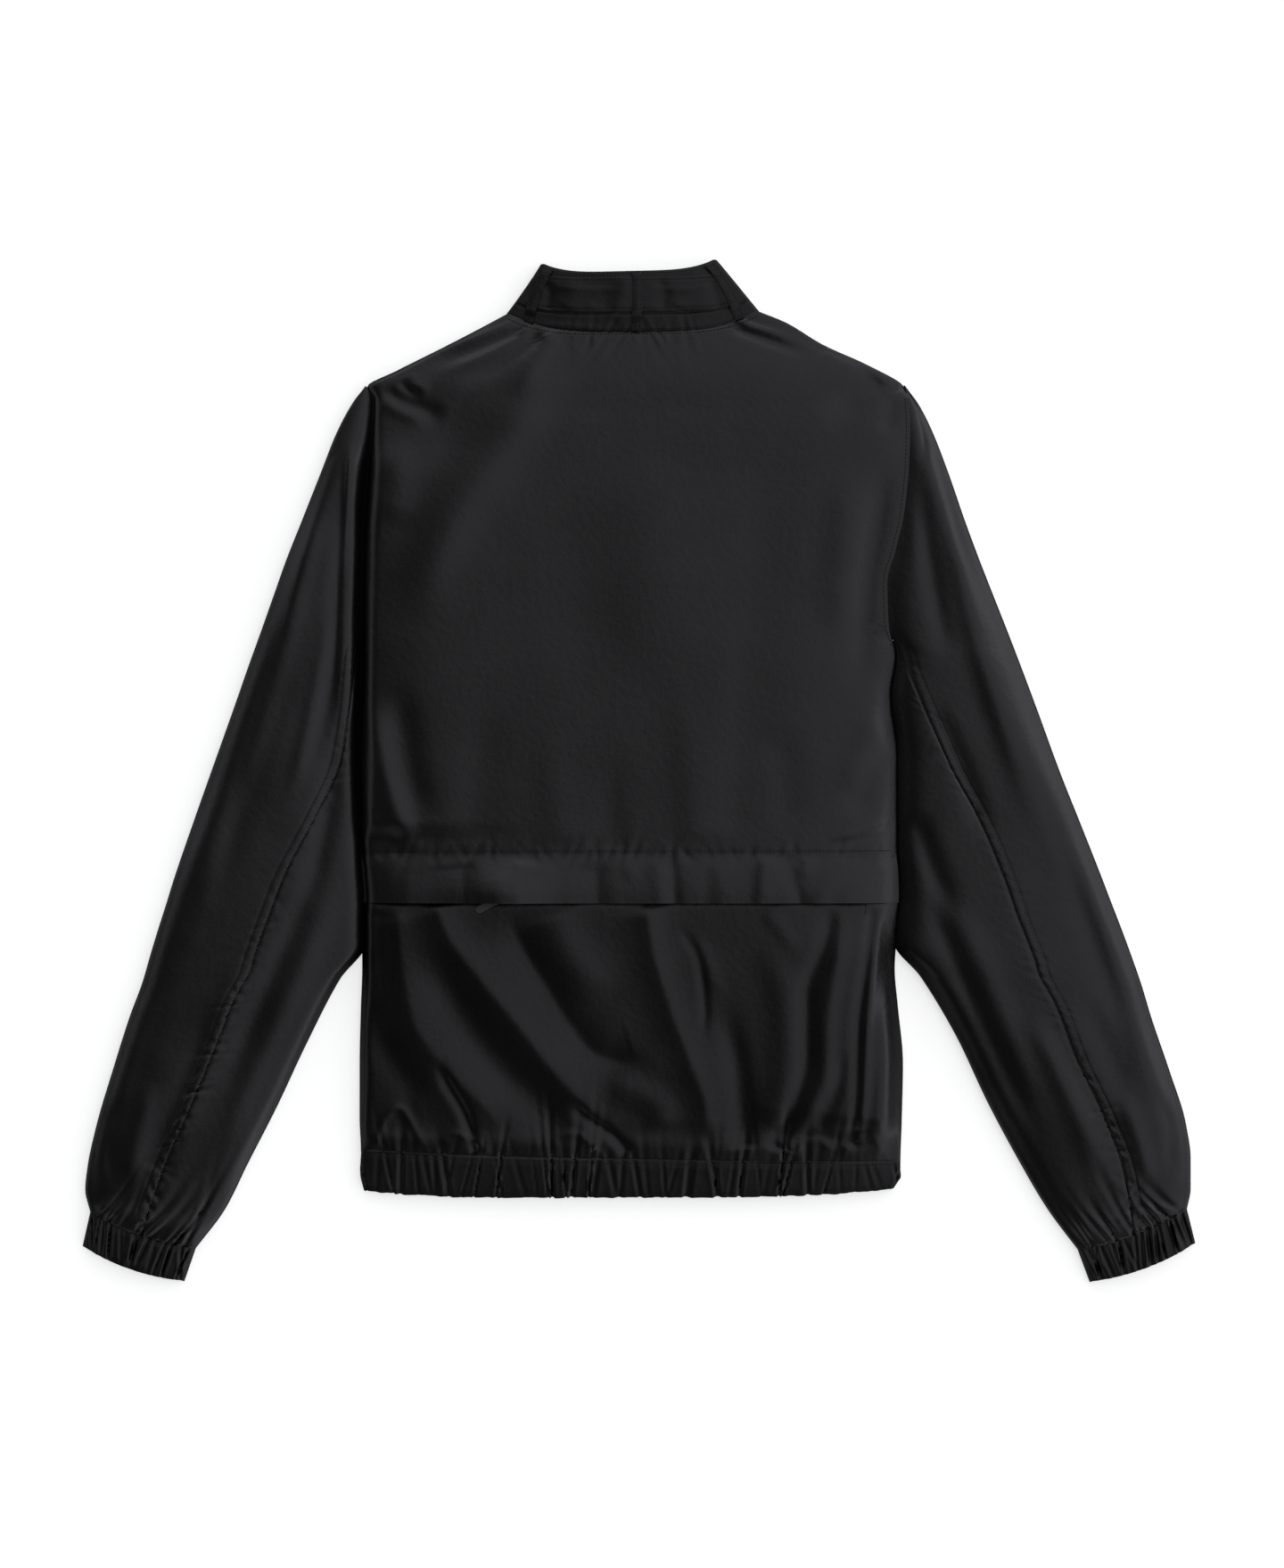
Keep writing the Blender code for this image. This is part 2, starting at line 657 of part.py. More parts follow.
def sleeve_sections(
    side_rows: tuple[SideRow, ...], free_rows: tuple[SleeveRow, ...], right: bool
) -> list[tuple[Section, float]]:
    """Each section of a sleeve from cuff to shoulder, with its seam's share of the upper side."""
    found = []
    for row in free_rows:
        bow = CUFF_BOW if row is free_rows[0] else 0.0
        inner, outer = Vector((row.inner_x, row.inner_y)), Vector((row.outer_x, row.outer_y))
        found.append((sleeve_section(inner, outer, WRIST_HEIGHT, EDGE_RADIUS, row.roll, row, bow), row.seam))
    for body, side in zip(BODY_ROWS[APEX_ROW : TOP_SLEEVE_ROW + 1], side_rows, strict=True):
        if right:
            edge, height = Vector((body.right_x + GAP, body.right_y)), body.right_height
        else:
            edge, height = Vector((body.left_x - GAP, body.left_y)), body.left_height
        row = SleeveRow(0, 0, 0, 0, side.seam, 3 * min(1, side.dome / 5), side.dome)
        radius = 0.0 if body.armhole else EDGE_RADIUS
        inner_roll = 0 if right and body.armhole else row.roll
        outer = Vector((side.outer_x, side.outer_y))
        found.append((sleeve_section(edge, outer, height, radius, inner_roll, row), side.seam))

    # The sleeve's head closes against the end of the shoulder.
    body = BODY_ROWS[TOP_SLEEVE_ROW + 1]
    x, y, height, turn = (
        (body.right_x, body.right_y, body.right_height, 1)
        if right
        else (body.left_x, body.left_y, body.left_height, -1)
    )
    inner, outer = Vector((x + turn * HEAD_GAP, y)), Vector((x + turn * HEAD_WIDTH, y))
    found.append((sleeve_section(inner, outer, height, 0, 0, SleeveRow(0, 0, 0, 0, 0, 0, 0)), 0))
    return found


def build_sleeve(side: str, side_rows: tuple[SideRow, ...], free_rows: tuple[SleeveRow, ...]) -> None:
    """A sleeve's upper and under panels, and its cuff."""
    right = side == "right"
    sections = sleeve_sections(side_rows, free_rows, right)
    top_rows, under_rows = [], []
    for section, seam in sections:
        gap = GAP / 2 / (section.b - section.a).length
        start = seam + gap if seam else 0.0
        lower_end = 3 - start
        top_rows.append(
            row_points(
                section,
                steps(start, 1, 8)[:-1] + steps(1, 2, EDGE_COLUMNS)[:-1] + steps(2, lower_end, 3),
            )
        )
        if seam:
            under_rows.append(
                row_points(
                    section,
                    steps(3 - seam + gap, 3, 3)[:-1]
                    + steps(3, 4, EDGE_COLUMNS)[:-1]
                    + steps(4, 4 + seam - gap, 4),
                )
            )
    add_panel(f"sleeve_{side}_top", top_rows, CLOTH, flip=not right)
    add_panel(f"sleeve_{side}_under", under_rows, CLOTH, flip=not right)

    wrist = sections[0][0]
    hand = wrist.top_bow.normalized()
    values = (
        steps(0, 1, 10)[:-1]
        + steps(1, 2, EDGE_COLUMNS)[:-1]
        + steps(2, 3, 6)[:-1]
        + steps(3, 4, EDGE_COLUMNS)[:-1]
    )
    top_edge = wrist._replace(a=wrist.a + hand * GAP, b=wrist.b + hand * GAP)
    taper = (wrist.b - wrist.a).normalized() * CUFF_TAPER
    mouth = hand * CUFF_LENGTH
    bottom_edge = wrist._replace(a=wrist.a + mouth, b=wrist.b + mouth - taper)
    rows = [row_points(bottom_edge, values), row_points(top_edge, values)]
    add_panel(f"cuff_{side}", rows, DOUBLE, closed=True, flip=not right)


def build_front_zip() -> None:
    """The front zip's tape and chain, from the hem band to the collar's top edge."""
    rows_y = [row.front_y for row in BODY_ROWS] + [row.front_y for row in COLLAR_ROWS[1:]]
    rows_y[0] += GAP
    half_tape, half_chain = FRONT_TAPE_WIDTH / 2, CHAIN_WIDTH / 2

    def strip(half_width: float, z: float) -> list:
        return [
            [(x, y, front_rise(x, y) + z) for x in steps(ZIP_X + half_width, ZIP_X - half_width, 2)]
            for y in rows_y
        ]

    add_panel("front_zip_tape", strip(half_tape, DOUBLE + TAPE_ROOM + TAPE_WALL), TAPE_WALL, "zip_tape")
    add_panel("front_zip_chain", strip(half_chain, 0), DOUBLE, "zip_chain")


# The slider lies along its own +X, with +Z out of the garment and the pull's pin across it at PIN_Z.
SLIDER_LENGTH, SLIDER_WIDTH, SLIDER_FLOOR, SLIDER_TOP = 11.0, 8.4, 0.3, 1.9
PIN_Z, PIN_SIZE = 3.1, 1.2
CROWN_REACH, CROWN_WIDTH, CROWN_WALL, CROWN_ROOM = 2.2, 1.6, 0.8, 4.2
EYE_END, EYE_HALF, FRAME_HALF = 4.8, 2.2, 3.1
PULL_BEVEL = 0.2


class PullStation(NamedTuple):
    """A place along the pull tab and its half width there."""

    x: float
    half_width: float


PULL_STATIONS = (
    PullStation(-PIN_SIZE / 2, FRAME_HALF),
    PullStation(PIN_SIZE / 2, FRAME_HALF),
    PullStation(EYE_END, FRAME_HALF),
    PullStation(6.5, 2.6),
    PullStation(18.5, 3.0),
    PullStation(21.5, 2.0),
)


def placed(obj: bpy.types.Object, place: Matrix) -> None:
    """Sets an object's place from a matrix in millimetres."""
    obj.matrix_world = Matrix.Translation(place.translation * MM) @ place.to_3x3().to_4x4()


def build_slider(name: str, place: Matrix) -> None:
    """A zip slider: a plate tapered to one end, with a crown bridging the pull's pin."""
    bm = bmesh.new()
    half = SLIDER_LENGTH / 2
    outline = (
        (-half, 0.6 * SLIDER_WIDTH / 2),
        (half - 4, SLIDER_WIDTH / 2),
        (half, 0.8 * SLIDER_WIDTH / 2),
    )
    ring = [(x, -y) for x, y in outline] + [(x, y) for x, y in reversed(outline)]
    base = bm.faces.new([bm.verts.new(Vector((x, y, SLIDER_FLOOR)) * MM) for x, y in ring])
    grown = bmesh.ops.extrude_face_region(bm, geom=[base])
    lifted = [v for v in grown["geom"] if isinstance(v, bmesh.types.BMVert)]
    bmesh.ops.translate(bm, vec=(0, 0, (SLIDER_TOP - SLIDER_FLOOR) * MM), verts=lifted)
    bmesh.ops.recalc_face_normals(bm, faces=bm.faces)
    slider = add_object(name, bm, "zip_metal")
    placed(slider, place)

    crown = bmesh.new()
    root = SLIDER_TOP - 0.5
    reach, room, wall = CROWN_REACH, CROWN_ROOM, CROWN_WALL
    outer = [(-reach - wall, root), (-reach - wall, room), (-reach, room + wall)]
    inner = [(-reach, root), (-reach, room)]
    profile = outer + [(-x, z) for x, z in reversed(outer)] + [(-x, z) for x, z in inner]
    profile += list(reversed(inner))
    width = CROWN_WIDTH / 2
    face = crown.faces.new([crown.verts.new(Vector((x, -width, z)) * MM) for x, z in profile])
    grown = bmesh.ops.extrude_face_region(crown, geom=[face])
    lifted = [v for v in grown["geom"] if isinstance(v, bmesh.types.BMVert)]
    bmesh.ops.translate(crown, vec=(0, 2 * width * MM, 0), verts=lifted)
    bmesh.ops.recalc_face_normals(crown, faces=crown.faces)
    helper = add_object(f"{name}_crown", crown, "zip_metal")
    helper.hide_render = True
    helper.display_type = "WIRE"
    placed(helper, place)
    union = slider.modifiers.new("Crown", "BOOLEAN")
    union.operation = "UNION"
    union.object = helper


def build_pull(name: str, place: Matrix) -> None:
    """A pull tab with a square eye, whose origin is its pin's axis."""
    bm = bmesh.new()
    grid = []
    for station in PULL_STATIONS:
        half = station.half_width
        inner = min(EYE_HALF, 0.7 * half)
        z = -PIN_SIZE / 2
        grid.append(
            [bm.verts.new(Vector((station.x, y, z)) * MM) for y in (-half, -inner, inner, half)]
        )
    for i, (low, high) in enumerate(zip(grid, grid[1:])):
        for j in range(3):
            is_eye = i == 1 and j == 1
            if not is_eye:
                bm.faces.new((low[j], high[j], high[j + 1], low[j + 1]))
    grown = bmesh.ops.extrude_face_region(bm, geom=list(bm.faces))
    lifted = [v for v in grown["geom"] if isinstance(v, bmesh.types.BMVert)]
    bmesh.ops.translate(bm, vec=(0, 0, PIN_SIZE * MM), verts=lifted)
    bmesh.ops.recalc_face_normals(bm, faces=bm.faces)
    pull = add_object(name, bm, "zip_metal")
    placed(pull, place)
    bevel = pull.modifiers.new("Bevel", "BEVEL")
    bevel.width = PULL_BEVEL * MM
    bevel.segments = 1
    bevel.limit_method = "ANGLE"


def build_zip_hardware() -> None:
    """Both sliders and both pulls, each where its zip has it."""
    section = body_section(body_row_at(POCKET_ZIP_Y))
    width = section.b.x - section.a.x - section.radius_a - section.radius_b
    u = (SLIDER_X - section.a.x - section.radius_a) / width
    chain_top = ring_point(section, u, CHAIN_PROUD)[2]
    base = Matrix.Translation((SLIDER_X, POCKET_ZIP_Y, chain_top))
    build_slider("pocket_zip_slider", base @ Matrix.Rotation(math.pi, 4, "Z"))
    pin = base @ Matrix.Translation((0, 0, PIN_Z))
    turn = Matrix.Rotation(PULL_YAW, 4, "Z") @ Matrix.Rotation(PULL_DROOP, 4, "Y")
    build_pull("pocket_zip_pull", pin @ turn)

    # The front zip faces down, so its slider and pull are turned over about the zip's length.
    bottom = front_rise(ZIP_X, FRONT_SLIDER_Y + SLIDER_LENGTH)
    over = Matrix.Rotation(-math.pi / 2, 4, "Z") @ Matrix.Rotation(math.pi, 4, "X")
    base = Matrix.Translation((ZIP_X, FRONT_SLIDER_Y, bottom)) @ over
    build_slider("front_zip_slider", base)
    pin = base @ Matrix.Translation((0, 0, PIN_Z))
    build_pull("front_zip_pull", pin @ Matrix.Rotation(-FRONT_PULL_DROOP, 4, "Y"))


def main() -> None:
    """Builds the jacket."""
    clear_scene()
    build_back()
    build_fronts()
    build_hem_band()
    build_collar()
    build_sleeve("right", RIGHT_SIDE_ROWS, RIGHT_SLEEVE_ROWS)
    build_sleeve("left", LEFT_SIDE_ROWS, LEFT_SLEEVE_ROWS)
    build_front_zip()
    build_zip_hardware()


main()
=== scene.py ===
"""A light windbreaker jacket laid flat on its front: its cloth, seams, zips, floor, lights and camera.

+X is the wearer's right, +Y runs from hem to collar and +Z is up, off the surface it lies on. Sizes
in the tables and classes are millimetres; meshes are made in metres. Each cloth piece is a fine thin
shell on the same cross-sections as its CAD solid, with its creases, gathers and puckers added.
"""

import json
import logging
import math
from collections.abc import Callable
from dataclasses import dataclass, field, replace
from enum import Enum
from typing import ClassVar, NamedTuple

import bpy
import numpy as np
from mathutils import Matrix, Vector
from mathutils.bvhtree import BVHTree

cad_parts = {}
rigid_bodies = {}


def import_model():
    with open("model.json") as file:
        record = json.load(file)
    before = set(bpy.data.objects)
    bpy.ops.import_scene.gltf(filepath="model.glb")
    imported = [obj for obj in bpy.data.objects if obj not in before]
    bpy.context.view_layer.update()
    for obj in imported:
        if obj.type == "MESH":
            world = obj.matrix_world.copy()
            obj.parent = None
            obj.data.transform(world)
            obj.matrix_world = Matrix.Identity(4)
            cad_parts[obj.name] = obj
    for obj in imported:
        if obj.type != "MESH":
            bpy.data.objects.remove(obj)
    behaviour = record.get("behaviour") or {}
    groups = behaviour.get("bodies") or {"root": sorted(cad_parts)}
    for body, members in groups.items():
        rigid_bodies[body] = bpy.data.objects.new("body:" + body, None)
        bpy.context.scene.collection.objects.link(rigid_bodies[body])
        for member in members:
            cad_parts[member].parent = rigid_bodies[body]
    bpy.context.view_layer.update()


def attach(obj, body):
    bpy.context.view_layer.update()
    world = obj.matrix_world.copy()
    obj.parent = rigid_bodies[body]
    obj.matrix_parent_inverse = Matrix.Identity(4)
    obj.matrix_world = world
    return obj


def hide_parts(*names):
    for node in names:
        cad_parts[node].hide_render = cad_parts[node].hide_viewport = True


logging.basicConfig(level=logging.INFO, format="%(message)s")
LOG = logging.getLogger("jacket")

MM = 0.001

GAP = 0.3  # between two pieces that meet at a seam
TUCK = 0.8  # how far one piece's edge is turned in under the next at a seam
TUCK_DEPTH = 1.4  # and how far down
SHELL = 0.6  # thickness of the shell cloth
BAND = 1.0  # thickness of the collar, cuffs and hem band
EDGE_RADIUS = 3.0
SHARP_ANGLE = math.radians(60)

ZIP_X, POCKET_ZIP_Y = -7.0, -99.0
CHAIN_WIDTH, CHAIN_GAP, CHAIN_PROUD = 5.4, 0.6, 0.6
FRONT_SLIDER_Y, FRONT_SLIDER_HALF_LENGTH = 325.0, 8.0

RISE_HEIGHT, RISE_Y, RISE_HALF_WIDTH, RISE_HALF_LENGTH = 8.0, 315.0, 24.0, 45.0
FLAP_SEAM_Y, FLAP_EDGE_Y = -64.0, -103.0
SLIDER_X = -108.0

Array = np.ndarray
Relief = Callable[[Array, Array, Array], Array]


class BodyRow(NamedTuple):
    """One cross-section of the body. back_y and front_y are where its middle lies, above and below."""

    left_x: float
    left_y: float
    right_x: float
    right_y: float
    back_y: float
    front_y: float
    left_height: float
    right_height: float
    left_roll: float
    right_roll: float
    dome: float
    armhole: float


BODY_ROWS = (
    # left_x left_y right_x right_y back_y front_y left_h right_h left_roll right_roll dome armhole
    BodyRow(-216.5, -330, 200.5, -328.5, -335, -335, 8, 8, 0, 0, 2.5, 0),
    BodyRow(-219.5, -316, 206, -318, -321, -321, 8, 8, 0.5, 0.5, 4, 0),
    BodyRow(-219, -298.5, 206, -307, -305.5, -305.5, 8, 8, 1.5, 1.5, 5, 0),
    BodyRow(-220, -272, 207, -276, -274, -274, 7, 8, 4.5, 5, 5.2, 0),
    BodyRow(-220, -230, 208, -230, -230, -230, 6, 8, 6.5, 6.5, 6.8, 0),
    BodyRow(-219, -185, 204, -185, -185, -185, 6, 8, 6.5, 6.5, 8.6, 0),
    BodyRow(-218, -155, 201.5, -155, -155, -155, 6, 8, 6.5, 6.5, 9.6, 0),
    BodyRow(-218, -134, 202.7, -134, -134, -134, 6, 8, 6.5, 6.5, 10.2, 0),
    BodyRow(-218, -116, 204, -116, -116, -116, 6, 8, 6.5, 6.5, 10.8, 0),
    BodyRow(-217.5, -99, 205.5, -99, -99, -99, 6, 8, 6.5, 6.5, 11.1, 0),
    BodyRow(-218.6, -80, 205, -80, -80, -80, 6, 8, 6.5, 6.5, 11.2, 0),
    BodyRow(-220, -62, 204, -62, -62, -62, 6, 8, 6.5, 6.5, 11.2, 0),
    BodyRow(-221, -29, 204, -29, -29, -29, 6, 8, 6.5, 6.5, 11.1, 0),
    BodyRow(-222, 12, 204, 12, 12, 12, 6, 8, 6.5, 6.5, 11, 0),
    BodyRow(-220.5, 60, 199, 60, 60, 60, 6, 9, 6.5, 5.5, 10.8, 0),
    BodyRow(-220, 91, 203, 91, 91, 91, 6.5, 10.5, 6, 4, 10.5, 0),
    BodyRow(-220, 116, 196, 116, 116, 114, 6, 13, 6.5, 1.5, 10.2, 1),
    BodyRow(-219.6, 149, 195, 149, 149, 144, 6, 13.5, 6.5, 1, 10, 1),
    BodyRow(-219, 172, 201, 172, 172, 165, 6, 13.5, 6.5, 1, 9.5, 1),
    BodyRow(-218, 202, 208, 202, 202, 192, 6, 13.5, 6.5, 0.9, 9, 1),
    BodyRow(-215, 240, 212, 240, 240, 226, 6, 13, 6.2, 1, 8, 1),
    BodyRow(-212, 270, 213, 270, 270, 250, 6, 12.5, 5.8, 1, 7.5, 1),
    BodyRow(-211, 292, 212, 292, 290, 266, 6, 12, 5.2, 0.8, 7, 1),
    BodyRow(-214, 303, 208, 303.5, 304, 272, 8, 11, 2.5, 0.8, 7, 0),
    BodyRow(-190, 316, 180, 320, 316, 276, 8, 9.5, 1.9, 1.2, 6.6, 0),
    BodyRow(-155, 333.5, 145, 336, 327, 280, 8, 8.5, 1.2, 1.2, 6, 0),
    BodyRow(-125, 349, 116, 353.5, 337, 284, 8, 8, 0.6, 0.8, 5.2, 0),
    BodyRow(-104.6, 360, 95, 362, 345.5, 288, 8, 8, 0, 0, 4.5, 0),
)
HEM_Y, HEM_SEAM_Y, NECK_Y = -335.0, -305.5, 345.5
APEX_ROW, TOP_SLEEVE_ROW = 7, 22


class SleeveRow(NamedTuple):
    """One cross-section of a sleeve below the body's side, from its inner edge to its outer one."""

    inner_x: float
    inner_y: float
    outer_x: float
    outer_y: float
    seam: float
    roll: float
    dome: float


class SideRow(NamedTuple):
    """One cross-section of a sleeve beside the body, whose side gives it its inner edge."""

    outer_x: float
    outer_y: float
    seam: float
    dome: float


RIGHT_SLEEVE_ROWS = (
    # inner_x inner_y outer_x outer_y seam roll dome
    SleeveRow(345.5, -376.5, 431.5, -344.5, 0.49, 0, 4),
    SleeveRow(322, -345, 434.5, -328, 0.56, 1, 6),
    SleeveRow(300, -308, 434.5, -305, 0.585, 2, 7),
    SleeveRow(274.8, -261, 430.5, -276, 0.575, 3, 8),
    SleeveRow(249.6, -208, 418, -236, 0.55, 3, 8),
    SleeveRow(222, -162, 404, -195, 0.57, 3, 8),
)
RIGHT_SIDE_ROWS = (
    # outer_x outer_y seam dome, one for each body row from the gap's apex to the shoulder
    SideRow(395.5, -167, 0.57, 8),
    SideRow(387.5, -144, 0.55, 8),
    SideRow(380.5, -125, 0.525, 8),
    SideRow(372, -103, 0.51, 8),
    SideRow(364, -82, 0.49, 8),
    SideRow(349, -44, 0.43, 8),
    SideRow(331.5, 0, 0.3, 8),
    SideRow(312.5, 52, 0.18, 7),
    SideRow(300.5, 84, 0.04, 7),
    SideRow(290.5, 110, 0, 7),
    SideRow(277.5, 143, 0, 6),
    SideRow(268.5, 166, 0, 6),
    SideRow(257, 197, 0, 5),
    SideRow(243.5, 236, 0, 4),
    SideRow(231.5, 267, 0, 2),
    SideRow(221, 288, 0, 1),
)
LEFT_SLEEVE_ROWS = (
    # inner_x inner_y outer_x outer_y seam roll dome
    SleeveRow(-349, -375.6, -432, -346.8, 0.49, 0, 4),
    SleeveRow(-326, -345, -436, -329, 0.51, 1, 6),
    SleeveRow(-308, -309, -434, -310, 0.51, 2, 7),
    SleeveRow(-285, -264, -426.5, -276, 0.49, 3, 8),
    SleeveRow(-262, -215, -414, -234, 0.48, 3, 8),
    SleeveRow(-235.6, -164, -401, -193, 0.49, 3, 8),
)
LEFT_SIDE_ROWS = (
    # outer_x outer_y seam dome, one for each body row from the gap's apex to the shoulder
    SideRow(-391, -166, 0.5, 8),
    SideRow(-385.5, -147, 0.48, 8),
    SideRow(-379.5, -127, 0.455, 8),
    SideRow(-372.5, -105, 0.42, 8),
    SideRow(-366, -84, 0.37, 8),
    SideRow(-353, -46, 0.25, 8),
    SideRow(-337.5, -2, 0.11, 8),
    SideRow(-319, 50, 0.06, 7),
    SideRow(-307.5, 83, 0.04, 7),
    SideRow(-298.5, 108, 0, 7),
    SideRow(-286.5, 142, 0, 6),
    SideRow(-278, 166, 0, 6),
    SideRow(-265.7, 197, 0, 5),
    SideRow(-250.5, 235.5, 0, 4),
    SideRow(-238, 267, 0, 2),
    SideRow(-225, 291, 0, 1),
)
CUFF_FALL = 1.5  # how much lower a cuff lies at its mouth
CUFF_LENGTH, CUFF_BOW, CUFF_TAPER = 27.5, 4.0, 3.0


class CollarRow(NamedTuple):
    """One cross-section of the collar, the seam first and the top edge last."""

    left_x: float
    left_y: float
    right_x: float
    right_y: float
    back_y: float
    front_y: float
    height: float
    dome: float


COLLAR_ROWS = (
    # left_x left_y right_x right_y back_y front_y height dome
    CollarRow(-104.6, 360, 95, 362, 345.5, 288, 8, 4.5),
    CollarRow(-98.5, 368, 88, 370.5, 360.5, 303, 8.4, 5.2),
    CollarRow(-82.5, 391, 69.5, 393, 388, 332, 9.2, 5.8),
    CollarRow(-77.5, 399, 61.5, 402.5, 392.8, 340, 9.4, 5.8),
)
STRAP_LOW_Y, STRAP_HIGH_Y, STRAP_WALL = 360.5, 388.0, 1.2
LOOP_WALL, LOOP_WIDTH = 1.0, 8.0
# Where each loop's lower and upper ends lie across the collar.
LOOP_PLACES = {"left": (0.075, 0.035), "centre": (0.512, 0.541), "right": (0.935, 0.965)}


def smooth(t: Array) -> Array:
    """Returns an S-shaped step from 0 at t = 0 to 1 at t = 1."""
    t = np.clip(t, 0.0, 1.0)
    return t * t * (3 - 2 * t)


def bump(distance: Array, half_width: float) -> Array:
    """Returns a bell of height 1 and the given half width."""
    return np.exp(-((distance / half_width) ** 2))


def smooth_rows(keys: Array, values: Array, at: Array) -> Array:
    """Reads a table between its rows, on a curve that doesn't overshoot them.

    Args:
        keys: the increasing key of each row.
        values: the rows, one column for each quantity.
        at: the keys to read at.

    Returns:
        One row of values for each key in at.
    """
    step = np.diff(keys)
    slope = np.diff(values, axis=0) / step[:, None]
    tangent = np.zeros_like(values)
    tangent[0], tangent[-1] = slope[0], slope[-1]
    product = slope[:-1] * slope[1:]
    total = slope[:-1] + slope[1:]
    same_way = product > 0
    tangent[1:-1] = np.where(same_way, 2 * product / np.where(same_way, total, 1.0), 0.0)
    i = np.clip(np.searchsorted(keys, at, side="right") - 1, 0, len(keys) - 2)
    h = step[i][:, None]
    t = ((at - keys[i]) / step[i])[:, None]
    return (
        (1 + 2 * t) * (1 - t) ** 2 * values[i]
        + t * (1 - t) ** 2 * h * tangent[i]
        + t**2 * (3 - 2 * t) * values[i + 1]
        + t**2 * (t - 1) * h * tangent[i + 1]
    )


CURVE_KNOTS, SURFACE_KNOTS = 512, 64
CURVE_START, SURFACE_START = 160.0, 400.0  # cells before the origin, so that none is below 0


def wobble(s: Array, cell: float, seed: int) -> Array:
    """Makes a smooth random curve that turns about once a cell.

    Args:
        s: the places along it, in millimetres.
        cell: the length of a cell.
        seed: picks the curve.

    Returns:
        Its value at each place, between -1 and 1.
    """
    knots = np.random.default_rng(seed).uniform(-1, 1, CURVE_KNOTS)
    place = np.asarray(s) / cell + CURVE_START
    i = np.floor(place).astype(int)
    t = smooth(place - i)
    return knots[i % CURVE_KNOTS] * (1 - t) + knots[(i + 1) % CURVE_KNOTS] * t


def unevenness(x: Array, y: Array, cell: float, seed: int) -> Array:
    """Makes a smooth random surface whose hills are about a cell across.

    Args:
        x: the places across, in millimetres.
        y: the places along.
        cell: the size of a cell.
        seed: picks the surface.

    Returns:
        Its value at each place, between -1 and 1.
    """
    knots = np.random.default_rng(seed).uniform(-1, 1, (SURFACE_KNOTS, SURFACE_KNOTS))
    px, py = np.asarray(x) / cell + SURFACE_START, np.asarray(y) / cell + SURFACE_START
    i, j = np.floor(px).astype(int), np.floor(py).astype(int)
    tx, ty = smooth(px - i), smooth(py - j)
    i0, i1 = i % SURFACE_KNOTS, (i + 1) % SURFACE_KNOTS
    j0, j1 = j % SURFACE_KNOTS, (j + 1) % SURFACE_KNOTS
    low = knots[i0, j0] * (1 - tx) + knots[i1, j0] * tx
    high = knots[i0, j1] * (1 - tx) + knots[i1, j1] * tx
    return low * (1 - ty) + high * ty


def front_rise(x: Array, y: Array) -> Array:
    """Lifts the fronts off the surface round the front zip's slider.

    Args:
        x: the places across.
        y: the places along.

    Returns:
        How far the fronts are lifted at each place.
    """
    across = ((x - ZIP_X) / RISE_HALF_WIDTH) ** 2
    along = ((y - RISE_Y) / RISE_HALF_LENGTH) ** 2
    return RISE_HEIGHT * np.exp(-across - along)


